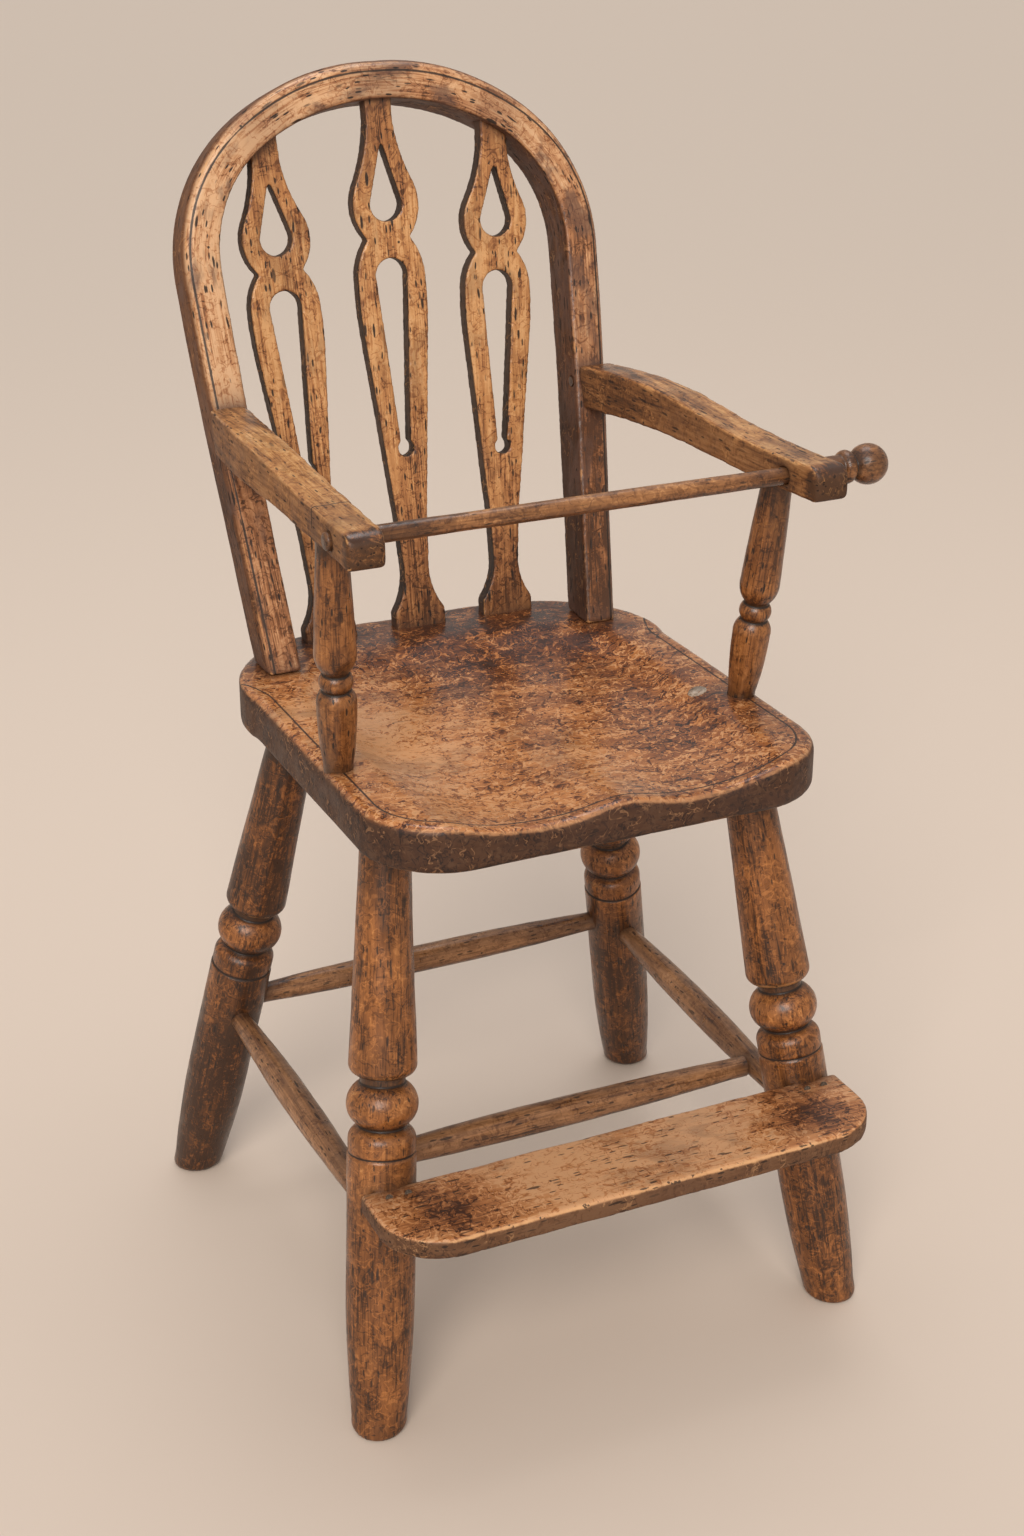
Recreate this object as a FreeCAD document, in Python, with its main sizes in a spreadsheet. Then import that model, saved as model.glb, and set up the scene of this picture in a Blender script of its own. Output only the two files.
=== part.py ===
import FreeCAD, Part
import math
import os
import Sketcher
from types import SimpleNamespace
from FreeCAD import Vector

# Wooden high chair with a bent bow, three pierced splats and a sliding restraining bar.
# Millimetres, +Z up. The chair stands on z = 0, faces -Y, and is even about x = 0.
# Left and right are as seen from the front, so left is -X. The right-hand pieces are
# modelled and their left-hand twins are mirrored from them.

DIMENSIONS = (
    # Seat plank. Sizes that end in _in run inwards from its sides, those that end in _from_rear
    # run forwards from its rear edge
    ("seat_top", 492.0),
    ("seat_thickness", 36.0),
    ("seat_half_width", 181.0),
    ("seat_front", 215.0),
    ("seat_rear", 190.0),
    ("seat_front_corner", 64.0),
    ("seat_side_end_from_rear", 122.0),
    ("seat_shoulder_in", 16.0),
    ("seat_shoulder_from_rear", 47.0),
    ("seat_rear_corner_in", 73.0),
    ("seat_rear_corner_from_rear", 5.0),
    # Saddle worked into the top of the seat
    ("dish_depth", 14.0),
    ("dish_border", 27.0),
    ("dish_middle", 28.0),
    ("dish_rear_reach", 115.0),
    ("dish_front_reach", 448.0),
    ("pommel_half_width", 31.0),
    ("pommel_length", 190.0),
    ("pommel_share", 0.68),
    # Legs: where their axes meet the underside of the seat, and how far they spread to the floor
    ("front_top_in", 33.0),
    ("front_top_y", 121.5),
    ("front_spread_x", 52.0),
    ("front_spread_y", 85.5),
    ("rear_top_in", 47.0),
    ("rear_top_from_rear", 85.0),
    ("rear_spread_x", 83.5),
    ("rear_spread_y", 92.3),
    # Leg turning: radii, and levels above the floor
    ("leg_foot_radius", 20.0),
    ("leg_calf_radius", 24.2),
    ("leg_calf_level", 48.0),
    ("leg_shaft_radius", 26.0),
    ("leg_shaft_level", 100.0),
    ("leg_groove_level", 216.5),
    ("leg_groove_size", 1.6),
    ("leg_ring_step", 0.6),
    ("leg_ring_level", 227.0),
    ("leg_dome_radius", 23.6),
    ("leg_dome_level", 232.0),
    ("leg_lower_neck_radius", 17.5),
    ("leg_lower_neck_level", 235.5),
    ("leg_bead_start", 237.5),
    ("leg_bead_radius", 27.0),
    ("leg_bead_level", 253.0),
    ("leg_upper_neck_radius", 17.0),
    ("leg_bead_end", 269.0),
    ("leg_shoulder_start", 275.5),
    ("leg_shoulder_round", 23.8),
    ("leg_shoulder_round_level", 278.5),
    ("leg_shoulder_radius", 25.4),
    ("leg_shoulder_level", 284.0),
    ("leg_top_radius", 18.3),
    ("leg_tenon_radius", 13.0),
    ("leg_tenon_share", 0.5),
    # Stretchers: levels of their axes, tenons and swells
    ("rear_stretcher_level", 178.0),
    ("side_stretcher_front_level", 162.0),
    ("side_stretcher_rear_level", 170.0),
    ("front_stretcher_setback", 76.0),
    ("stretcher_end_radius", 8.6),
    ("stretcher_swell_radius", 12.2),
    ("stretcher_tenon", 17.0),
    ("stretcher_straight", 24.0),
    ("cross_tenon", 9.0),
    # Footrest board and its nails
    ("footrest_top", 200.0),
    ("footrest_thickness", 16.0),
    ("footrest_overhang", 26.0),
    ("footrest_let_in", 4.0),
    ("footrest_depth", 81.0),
    ("footrest_corner", 48.0),
    ("nail_radius", 1.5),
    ("nail_head_radius", 2.9),
    ("nail_head_thickness", 1.0),
    ("nail_length", 38.0),
    ("nail_slant", 28.0),
    ("nail_setback", 13.0),
    ("nail_spacing", 15.0),
    # Bow: its front face leans back from bow_front, heights run up the lean
    ("bow_tilt", 16.0),
    ("bow_front_from_rear", 83.0),
    ("bow_depth", 40.0),
    ("bow_outer_foot_in", 26.0),
    ("bow_outer_bend_in", 12.2),
    ("bow_outer_bend", 171.0),
    ("bow_outer_widest_in", 3.2),
    ("bow_outer_widest_height", 312.0),
    ("bow_outer_shoulder_in", 58.2),
    ("bow_outer_shoulder", 430.5),
    ("bow_outer_top", 470.0),
    ("bow_inner_foot_in", 54.0),
    ("bow_inner_bend_in", 39.6),
    ("bow_inner_bend", 195.0),
    ("bow_inner_widest_in", 33.3),
    ("bow_inner_widest_height", 317.5),
    ("bow_inner_shoulder", 412.0),
    ("bow_inner_top", 440.0),
    ("bow_tenon_radius", 8.0),
    ("bow_tenon_share", 0.28),
    # Splats: half widths, and heights up their front faces from the seat
    ("splat_top_setback", 6.7),
    ("splat_front_from_rear", 25.0),
    ("splat_thickness", 14.0),
    ("splat_tenon", 14.0),
    ("side_splat_in", 101.0),
    ("side_splat_top_in", 83.0),
    ("side_splat_height_share", 0.943),
    ("splat_base", 22.5),
    ("splat_block_height", 13.0),
    ("splat_block_shoulder", 19.0),
    ("splat_block_shoulder_height", 18.5),
    ("splat_waist_curve", 13.2),
    ("splat_waist_curve_height", 33.0),
    ("splat_waist", 11.5),
    ("splat_waist_height", 52.0),
    ("splat_flare", 13.2),
    ("splat_flare_height", 88.0),
    ("splat_breast", 28.2),
    ("splat_breast_height", 248.0),
    ("splat_lobe", 29.3),
    ("splat_lobe_height", 290.0),
    ("splat_notch", 18.3),
    ("splat_notch_height", 319.0),
    ("splat_crown", 28.2),
    ("splat_crown_height", 342.0),
    ("splat_crown_end", 23.6),
    ("splat_crown_end_height", 365.0),
    ("splat_throat", 15.9),
    ("splat_throat_height", 386.0),
    ("splat_neck", 11.5),
    ("splat_neck_height", 411.0),
    ("slot_bulb_bottom", 143.0),
    ("slot_bulb", 6.9),
    ("slot_bulb_height", 150.0),
    ("slot_throat", 4.0),
    ("slot_throat_height", 155.6),
    ("slot_shoulder", 13.2),
    ("slot_shoulder_height", 287.0),
    ("slot_top", 303.5),
    ("drop_bottom", 332.3),
    ("drop_side", 12.4),
    ("drop_side_height", 351.5),
    ("drop_point", 395.0),
    # Arms: plan of the inner edge, widths, and heights of the top and bottom edges above the seat
    ("arm_inner_rear_in", 36.0),
    ("arm_inner_bend_in", 27.7),
    ("arm_bend_y", 85.0),
    ("arm_inner_middle_in", 24.7),
    ("arm_waist_y", 3.0),
    ("arm_middle_y", 17.0),
    ("arm_inner_front_in", 17.5),
    ("arm_width", 30.0),
    ("arm_front_width", 28.0),
    ("arm_front", 183.0),
    ("arm_nose_round", 13.0),
    ("arm_chin_round", 7.0),
    ("arm_corner_round", 5.0),
    ("arm_top_rear", 206.0),
    ("arm_top_hump", 212.0),
    ("arm_hump_y", 63.0),
    ("arm_top_middle", 209.5),
    ("arm_top_front", 207.8),
    ("arm_bottom_rear", 172.0),
    ("arm_bottom_bend", 178.3),
    ("arm_bottom_middle", 180.6),
    ("arm_bottom_front", 182.0),
    ("arm_tenon_radius", 7.5),
    ("arm_tenon_length", 22.0),
    ("arm_tenon_in", 24.5),
    ("arm_tenon_height", 192.0),
    ("peg_radius", 4.0),
    ("peg_length", 25.0),
    # Arm supports: ends of the axis, and turning measured along it from the seat
    ("support_foot_in", 13.5),
    ("support_foot_y", 81.5),
    ("support_top_in", 5.0),
    ("support_top_y", 109.0),
    ("support_tenon_radius", 8.0),
    ("support_tenon_depth", 15.0),
    ("support_foot_radius", 10.3),
    ("support_body_radius", 13.5),
    ("support_body_height", 27.0),
    ("support_shoulder_radius", 14.6),
    ("support_shoulder_height", 54.0),
    ("support_shoulder_round", 13.5),
    ("support_shoulder_round_height", 61.5),
    ("support_groove_radius", 10.2),
    ("support_groove_height", 66.0),
    ("support_ring_start", 67.0),
    ("support_ring_radius", 12.5),
    ("support_ring_height", 73.3),
    ("support_ring_end", 79.6),
    ("support_neck_radius", 9.6),
    ("support_bulge_start", 81.0),
    ("support_bulge_round", 13.5),
    ("support_bulge_round_height", 87.0),
    ("support_bulge_radius", 15.3),
    ("support_bulge_height", 99.0),
    ("support_slim_radius", 14.1),
    ("support_slim_height", 130.0),
    ("support_top_radius", 11.4),
    # Restraining bar and its knob
    ("bar_radius", 6.5),
    ("bar_y", 141.0),
    ("bar_height", 193.0),
    ("bar_end_proud", 3.0),
    ("bar_end_bevel", 1.2),
    ("bar_in_knob", 24.0),
    ("knob_standoff", 2.0),
    ("knob_root_radius", 9.6),
    ("knob_collar_radius", 12.6),
    ("knob_collar_middle", 21.0),
    ("knob_collar_end", 26.0),
    ("knob_neck_radius", 8.4),
    ("knob_ball_radius", 15.2),
    ("knob_ball_middle", 40.0),
    # Plug let into the seat
    ("plug_radius", 7.5),
    ("plug_depth", 20.0),
    ("plug_in", 40.0),
    ("plug_y", 59.0),
    # Fits
    ("glue_gap", 0.05),
    ("tenon_end_gap", 1.0),
    ("bar_clearance", 0.08),
)

doc = FreeCAD.newDocument("high_chair")
sheet = doc.addObject("Spreadsheet::Sheet", "dims")
for row, (name, number) in enumerate(DIMENSIONS, start=1):
    sheet.set(f"A{row}", name)
    sheet.set(f"B{row}", str(number))
    sheet.setAlias(f"B{row}", name)
doc.recompute()


class Size:
    """A length or an angle: its number, and the formula that ties it to the sheet."""

    def __init__(self, value, text):
        self.value = float(value)
        self.text = text

    def __add__(self, other):
        other = size(other)
        return Size(self.value + other.value, f"({self.text} + {other.text})")

    def __sub__(self, other):
        other = size(other)
        return Size(self.value - other.value, f"({self.text} - {other.text})")

    def __mul__(self, other):
        other = size(other)
        return Size(self.value * other.value, f"({self.text} * {other.text})")

    def __truediv__(self, other):
        other = size(other)
        return Size(self.value / other.value, f"({self.text} / {other.text})")

    def __neg__(self):
        return Size(-self.value, f"(-1 * {self.text})")


def size(number):
    """A plain number as a Size; a Size stays as it is."""
    if isinstance(number, Size):
        return number
    return Size(number, f"({float(number)})")


def root(number):
    """Square root of a Size."""
    return Size(math.sqrt(number.value), f"sqrt({number.text})")


def tangent(angle):
    """Tangent of an angle in degrees."""
    return Size(math.tan(math.radians(angle.value)), f"tan({angle.text})")


def sine(angle):
    """Sine of an angle in degrees."""
    return Size(math.sin(math.radians(angle.value)), f"sin({angle.text})")


def cosine(angle):
    """Cosine of an angle in degrees."""
    return Size(math.cos(math.radians(angle.value)), f"cos({angle.text})")


def arc_cosine(number):
    """Angle in degrees whose cosine is given."""
    return Size(math.degrees(math.acos(number.value)), f"acos({number.text})")


def arc_tangent(number):
    """Angle in degrees whose tangent is given."""
    return Size(math.degrees(math.atan(number.value)), f"atan({number.text})")


ZERO = size(0)
d = SimpleNamespace(**{name: Size(sheet.get(name), f"dims.{name}") for name, _ in DIMENSIONS})


# Points in space


def point(x, y, z):
    """A point whose coordinates are Sizes."""
    return size(x), size(y), size(z)


def toward(start, end, distance):
    """The point at a distance from start, on the way to end."""
    share = distance / span(start, end)
    return tuple(a + (b - a) * share for a, b in zip(start, end))


def between(start, end, share):
    """The point at a share of the way from start to end."""
    return tuple(a + (b - a) * share for a, b in zip(start, end))


def span(start, end):
    """Distance between two points."""
    squares = [(b - a) * (b - a) for a, b in zip(start, end)]
    return root(squares[0] + squares[1] + squares[2])


def other_side(place):
    """The mirror image of a point."""
    return -place[0], place[1], place[2]


def pose(start, end):
    """Placement that puts the origin at start and turns +Z to face end."""
    x, y, z = (b - a for a, b in zip(start, end))
    angle = arc_cosine(z / span(start, end))
    base = "; ".join(part.text for part in start)
    return f"placement(vector({base}); rotation(vector({(-y).text}; {x.text}; 0); {angle.text}))"


# Sketches and bodies


def origin_plane(body, role):
    """One of a body's own origin planes."""
    return next(plane for plane in body.Origin.OriginFeatures if plane.Role == role)


def locate(sketch, geometry, end, place):
    """Fix one sketch point at a place given by two Sizes."""
    for kind, axis, part in (("DistanceX", -2, place[0]), ("DistanceY", -1, place[1])):
        if part.value == 0:
            sketch.addConstraint(Sketcher.Constraint("PointOnObject", geometry, end, axis))
        elif part.value > 0:
            rule = sketch.addConstraint(Sketcher.Constraint(kind, -1, 1, geometry, end, part.value))
            sketch.setExpression(f"Constraints[{rule}]", part.text)
        else:
            rule = sketch.addConstraint(Sketcher.Constraint(kind, geometry, end, -1, 1, -part.value))
            sketch.setExpression(f"Constraints[{rule}]", (-part).text)


def line_to(x, y):
    """A straight stretch of an outline."""
    return "line", (size(x), size(y)), None


def arc_to(middle, end):
    """A round stretch of an outline through a middle point."""
    return "arc", tuple(map(size, end)), tuple(map(size, middle))


def flow_to(x, y):
    """A round stretch of an outline that carries on from the last one without a corner."""
    return "flow", (size(x), size(y)), None


def flat(place):
    """A sketch place as a vector of its present numbers."""
    return Vector(place[0].value, place[1].value, 0)


def draw(sketch, start, stretches):
    """Draw a closed outline from its start and its stretches, every corner tied to the sheet."""
    start = tuple(map(size, start))
    here = start
    heading = None
    first_end = None
    last_end = None
    stretches = list(stretches)
    if (flat(stretches[-1][1]) - flat(start)).Length > 0:
        stretches.append(line_to(*start))
    for number, (kind, end, middle) in enumerate(stretches):
        a = flat(here)
        b = flat(end)
        if kind == "line":
            piece = sketch.addGeometry(Part.LineSegment(a, b), False)
            near, far = 1, 2
            heading = (b - a).normalize()
        else:
            chord = b - a
            if kind == "arc":
                via = flat(middle)
            else:
                side = Vector(-heading.y, heading.x, 0)
                turn = math.atan2(chord.dot(side), chord.dot(heading))
                across = Vector(chord.y, -chord.x, 0)
                via = a + chord * 0.5 + across * (0.5 * math.tan(turn / 2))
            left_turn = (via - a).cross(b - a).z > 0
            curve = Part.ArcOfCircle(a, via, b) if left_turn else Part.ArcOfCircle(b, via, a)
            piece = sketch.addGeometry(curve, False)
            near, far = (1, 2) if left_turn else (2, 1)
            radius = b - curve.Center
            heading = Vector(-radius.y, radius.x, 0) if left_turn else Vector(radius.y, -radius.x, 0)
            heading.normalize()
            if kind == "arc":
                mark = sketch.addGeometry(Part.Point(via), True)
                locate(sketch, mark, 1, middle)
                sketch.addConstraint(Sketcher.Constraint("PointOnObject", mark, 1, piece))
        if last_end is None:
            first_end = (piece, near)
        else:
            join = "Tangent" if kind == "flow" else "Coincident"
            sketch.addConstraint(Sketcher.Constraint(join, *last_end, piece, near))
        last_end = (piece, far)
        if number < len(stretches) - 1:
            locate(sketch, piece, far, end)
        here = end
    sketch.addConstraint(Sketcher.Constraint("Coincident", *last_end, *first_end))
    locate(sketch, *first_end, start)


def new_sketch(body, name, role, start, stretches):
    """A closed outline on one of a body's origin planes."""
    sketch = body.newObject("Sketcher::SketchObject", name)
    sketch.AttachmentSupport = [(origin_plane(body, role), "")]
    sketch.MapMode = "FlatFace"
    draw(sketch, start, stretches)
    return sketch


def turned(label, start, end, first, stretches):
    """A piece turned about the axis from start to end; the outline is (radius, length along)."""
    body = doc.addObject("PartDesign::Body", label)
    sketch = new_sketch(body, f"{label}_outline", "XZ_Plane", first, stretches)
    turning = body.newObject("PartDesign::Revolution", f"{label}_turning")
    turning.Profile = sketch
    turning.ReferenceAxis = (sketch, ["V_Axis"])
    turning.Angle = 360
    body.setExpression("Placement", pose(start, end))
    return body


def sawn(label, role, thickness, start, stretches, reverse=False):
    """A piece sawn to an outline from a board of some thickness; the outline's sketch too."""
    body = doc.addObject("PartDesign::Body", label)
    sketch = new_sketch(body, f"{label}_outline", role, start, stretches)
    board = body.newObject("PartDesign::Pad", f"{label}_board")
    board.Profile = sketch
    board.setExpression("Length", thickness.text)
    board.Reversed = reverse
    return body, board, sketch


def evened(body, board, sketch):
    """Mirror a half board about the vertical axis of its sketch."""
    whole = body.newObject("PartDesign::Mirrored", f"{body.Name}_whole")
    whole.Originals = [board]
    whole.MirrorPlane = (sketch, ["V_Axis"])
    body.Tip = whole


def pierced(body, name, role, start, stretches, reverse):
    """Saw an opening right through a body."""
    doc.recompute()
    before = body.Shape.Volume
    sketch = new_sketch(body, f"{name}_outline", role, start, stretches)
    opening = body.newObject("PartDesign::Pocket", name)
    opening.Profile = sketch
    opening.Type = "ThroughAll"
    opening.Reversed = reverse
    body.Tip = opening
    doc.recompute()
    if body.Shape.Volume >= before:
        raise RuntimeError(f"{name} cuts nothing")


def rod(label, start, end, radius, length):
    """A cylinder from start, along the way to end."""
    piece = doc.addObject("Part::Cylinder", label)
    piece.setExpression("Radius", radius.text)
    piece.setExpression("Height", length.text)
    piece.setExpression("Placement", pose(start, end))
    return piece


def block(label, low, extent):
    """A box from its low corner and its three lengths."""
    piece = doc.addObject("Part::Box", label)
    for name, length in zip(("Length", "Width", "Height"), extent):
        piece.setExpression(name, length.text)
    base = "; ".join(size(part).text for part in low)
    piece.setExpression("Placement", f"placement(vector({base}); rotation(vector(0; 0; 1); 0))")
    return piece


def joined(label, pieces):
    """Several shapes as one."""
    fuse = doc.addObject("Part::MultiFuse", label)
    fuse.Shapes = pieces
    return fuse


def cut(label, base, tools):
    """A shape with others cut out of it."""
    result = doc.addObject("Part::Cut", label)
    result.Base = base
    result.Tool = tools[0] if len(tools) == 1 else joined(f"{label}_tools", tools)
    return result


def twin(label, source):
    """The mirror image of a piece on the other side of the chair."""
    image = doc.addObject("Part::Mirroring", label)
    image.Source = source
    image.Normal = Vector(1, 0, 0)
    image.Base = Vector(0, 0, 0)
    return image


def twins(tools):
    """Tools together with their mirror images."""
    return tools + [twin(f"{tool.Name}_twin", tool) for tool in tools]


# Where the pieces meet


def inside(inset):
    """A place that far in from the side of the seat."""
    return d.seat_half_width - inset


def before(distance):
    """A place that far in front of the rear edge of the seat."""
    return d.seat_rear - distance


def above(height):
    """A level that far above the top of the seat."""
    return d.seat_top + height


seat_bottom = above(-d.seat_thickness)
leg_tenon = d.seat_thickness * d.leg_tenon_share
bow_tenon = d.seat_thickness * d.bow_tenon_share
leg_x = inside(d.front_top_in)
FRONT_TOP = point(leg_x, -d.front_top_y, seat_bottom)
FRONT_FOOT = point(leg_x + d.front_spread_x, -(d.front_top_y + d.front_spread_y), 0)
rear_leg_x = inside(d.rear_top_in)
rear_leg_y = before(d.rear_top_from_rear)
REAR_TOP = point(rear_leg_x, rear_leg_y, seat_bottom)
REAR_FOOT = point(rear_leg_x + d.rear_spread_x, rear_leg_y + d.rear_spread_y, 0)
bow_front = before(d.bow_front_from_rear)
splat_front = before(d.splat_front_from_rear)
bow_outer_foot = inside(d.bow_outer_foot_in)
bow_outer_bend_x = inside(d.bow_outer_bend_in)
bow_inner_foot = inside(d.bow_inner_foot_in)
bow_inner_bend_x = inside(d.bow_inner_bend_in)
splat_x = inside(d.side_splat_in)
splat_top_x = inside(d.side_splat_top_in)
arm_rear = inside(d.arm_inner_rear_in)
arm_bend = inside(d.arm_inner_bend_in)
arm_middle = inside(d.arm_inner_middle_in)
arm_nose = inside(d.arm_inner_front_in)
arm_top_rear = above(d.arm_top_rear)
arm_top_front = above(d.arm_top_front)
arm_bottom_rear = above(d.arm_bottom_rear)
arm_bottom_front = above(d.arm_bottom_front)
tenon_level = above(d.arm_tenon_height)
SUPPORT_FOOT = point(inside(d.support_foot_in), -d.support_foot_y, d.seat_top)
SUPPORT_TOP = point(inside(d.support_top_in), -d.support_top_y, arm_bottom_front)


def at_level(foot, top, level):
    """The point of a leg's axis at a level above the floor."""
    return between(foot, top, level / seat_bottom)


def bow_face(level):
    """How far back the front of the bow is at a level."""
    return bow_front + (level - d.seat_top) * tangent(d.bow_tilt)


# Seat


def seat_blank():
    """The plank, sawn to its plan, with spare wood on top."""
    outline = [
        line_to(d.seat_half_width - d.seat_front_corner, -d.seat_front),
        flow_to(d.seat_half_width, d.seat_front_corner - d.seat_front),
        line_to(d.seat_half_width, before(d.seat_side_end_from_rear)),
        arc_to(
            (inside(d.seat_shoulder_in), before(d.seat_shoulder_from_rear)),
            (inside(d.seat_rear_corner_in), before(d.seat_rear_corner_from_rear)),
        ),
        flow_to(0, d.seat_rear),
    ]
    thickness = d.seat_thickness * 2
    body, board, sketch = sawn("seat_blank", "XY_Plane", thickness, (0, -d.seat_front), outline)
    evened(body, board, sketch)
    place = f"placement(vector(0; 0; {seat_bottom.text}); rotation(vector(0; 0; 1); 0))"
    body.setExpression("Placement", place)
    return body


def saddle_depth(x, y):
    """Depth of the saddle below the rim of the seat, which fades out smoothly at its border."""
    across = (x / inside(d.dish_border).value) ** 4
    reach = d.dish_rear_reach.value if y > d.dish_middle.value else d.dish_front_reach.value
    along = ((y - d.dish_middle.value) / reach) ** 2
    share = min(1.0, max(0.0, 1 - across - along))
    bowl = d.dish_depth.value * share ** 3 * (share * (6 * share - 15) + 10)
    pommel_rear = d.pommel_length.value - d.seat_front.value
    forward = min(1.0, max(0.0, (pommel_rear - y) / d.pommel_length.value))
    ridge = math.exp(-((x / d.pommel_half_width.value) ** 2)) * forward ** 2
    return bowl * (1 - ridge * d.pommel_share.value)


def saddle():
    """All the wood above the finished top of the seat, saddle included."""
    steps = 36
    margin = d.seat_thickness.value / 3
    half = d.seat_half_width.value + margin
    front = -d.seat_front.value - margin
    rear = d.seat_rear.value + margin
    shares = [step / steps for step in range(steps + 1)]
    grid = []
    for x in [half * (2 * share - 1) for share in shares]:
        ys = [front + (rear - front) * share for share in shares]
        grid.append([Vector(x, y, d.seat_top.value - saddle_depth(x, y)) for y in ys])
    surface = Part.BSplineSurface()
    surface.interpolate(grid)
    tool = doc.addObject("Part::Feature", "saddle")
    tool.Shape = surface.toShape().extrude(Vector(0, 0, 2 * d.seat_thickness.value))
    tool.Placement = FreeCAD.Placement()
    return tool


# Legs


def leg_outline(foot, top):
    """Half outline of a leg, from below the floor to the end of its tenon."""
    lean = span(foot, top) / seat_bottom
    below = d.leg_foot_radius
    ring = d.leg_shaft_radius - d.leg_ring_step
    shank = seat_bottom + leg_tenon / 2
    end = seat_bottom + leg_tenon

    def corner(radius, level):
        return radius, level * lean

    outline = [
        line_to(*corner(d.leg_foot_radius, -below)),
        line_to(*corner(d.leg_foot_radius, ZERO)),
        arc_to(
            corner(d.leg_calf_radius, d.leg_calf_level),
            corner(d.leg_shaft_radius, d.leg_shaft_level),
        ),
        line_to(*corner(d.leg_shaft_radius, d.leg_groove_level - d.leg_groove_size)),
        line_to(*corner(d.leg_shaft_radius - d.leg_groove_size, d.leg_groove_level)),
        line_to(*corner(ring, d.leg_groove_level + d.leg_groove_size)),
        line_to(*corner(ring, d.leg_ring_level)),
        arc_to(
            corner(d.leg_dome_radius, d.leg_dome_level),
            corner(d.leg_lower_neck_radius, d.leg_lower_neck_level),
        ),
        line_to(*corner(d.leg_lower_neck_radius, d.leg_bead_start)),
        arc_to(
            corner(d.leg_bead_radius, d.leg_bead_level),
            corner(d.leg_upper_neck_radius, d.leg_bead_end),
        ),
        line_to(*corner(d.leg_upper_neck_radius, d.leg_shoulder_start)),
        arc_to(
            corner(d.leg_shoulder_round, d.leg_shoulder_round_level),
            corner(d.leg_shoulder_radius, d.leg_shoulder_level),
        ),
        line_to(*corner(d.leg_top_radius, seat_bottom)),
        line_to(*corner(d.leg_top_radius, shank)),
        line_to(*corner(d.leg_tenon_radius, shank)),
        line_to(*corner(d.leg_tenon_radius, end)),
        line_to(*corner(ZERO, end)),
    ]
    return corner(ZERO, -below), outline


def leg(label, foot, top, seat, tools):
    """A leg, levelled at the floor, shouldered to the seat and bored for its stretchers."""
    start, outline = leg_outline(foot, top)
    turning = turned(f"{label}_turning", foot, top, start, outline)
    return cut(label, turning, [seat] + tools)


def leg_socket(name, foot, top):
    """The blind hole in the seat for a leg's tenon."""
    lean = span(foot, top) / seat_bottom
    start = at_level(foot, top, seat_bottom - leg_tenon)
    length = leg_tenon * lean * 2 + d.tenon_end_gap
    return rod(name, start, top, d.leg_tenon_radius + d.glue_gap, length)


# Stretchers


def stretcher(label, start, end):
    """A stretcher that swells in the middle and runs straight into its sockets."""
    length = span(start, end)
    rim = d.stretcher_end_radius
    straight = d.stretcher_straight
    outline = [
        line_to(rim, 0),
        line_to(rim, straight),
        arc_to((d.stretcher_swell_radius, length / 2), (rim, length - straight)),
        line_to(rim, length),
        line_to(0, length),
    ]
    return turned(label, start, end, (0, 0), outline)


def socket(name, tip, away, depth):
    """The hole for a stretcher's tenon, from just past its tip and out of the wood."""
    start = toward(tip, away, -d.tenon_end_gap)
    return rod(name, start, away, d.stretcher_end_radius + d.glue_gap, depth * 2)


# Footrest

footrest_leg = at_level(FRONT_FOOT, FRONT_TOP, d.footrest_top)
footrest_rear = footrest_leg[1] - d.leg_shaft_radius + d.footrest_let_in
footrest_end = footrest_leg[0] + d.footrest_overhang


def footrest_board():
    """The footrest board, square at the back and rounded at the front corners."""
    front = footrest_rear - d.footrest_depth
    outline = [
        line_to(footrest_end - d.footrest_corner, front),
        flow_to(footrest_end, front + d.footrest_corner),
        line_to(footrest_end, footrest_rear),
        line_to(0, footrest_rear),
    ]
    body, board, sketch = sawn("footrest_board", "XY_Plane", d.footrest_thickness, (0, front), outline)
    evened(body, board, sketch)
    low = d.footrest_top - d.footrest_thickness
    body.setExpression("Placement", f"placement(vector(0; 0; {low.text}); rotation(vector(0; 0; 1); 0))")
    return body


def nail_line(side):
    """Head and point of one footrest nail, beside the middle of the right front leg."""
    x = footrest_leg[0] + d.nail_spacing * (side / 2)
    head = point(x, footrest_rear - d.nail_setback, d.footrest_top)
    run = d.nail_length * cosine(d.nail_slant)
    drop = d.nail_length * sine(d.nail_slant)
    return head, point(x, head[1] + run, head[2] - drop)


def nail(name, head, tip, gap):
    """A nail, or with a gap the hole that it makes."""
    rim = d.nail_head_radius + gap
    shank = d.nail_radius + gap
    outline = [
        line_to(rim, 0),
        line_to(rim, d.nail_head_thickness),
        line_to(shank, d.nail_head_thickness),
        line_to(shank, d.nail_length),
        line_to(0, d.nail_length + d.nail_radius * 2),
    ]
    return turned(name, head, tip, (0, 0), outline)


# Bow and splats


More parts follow.
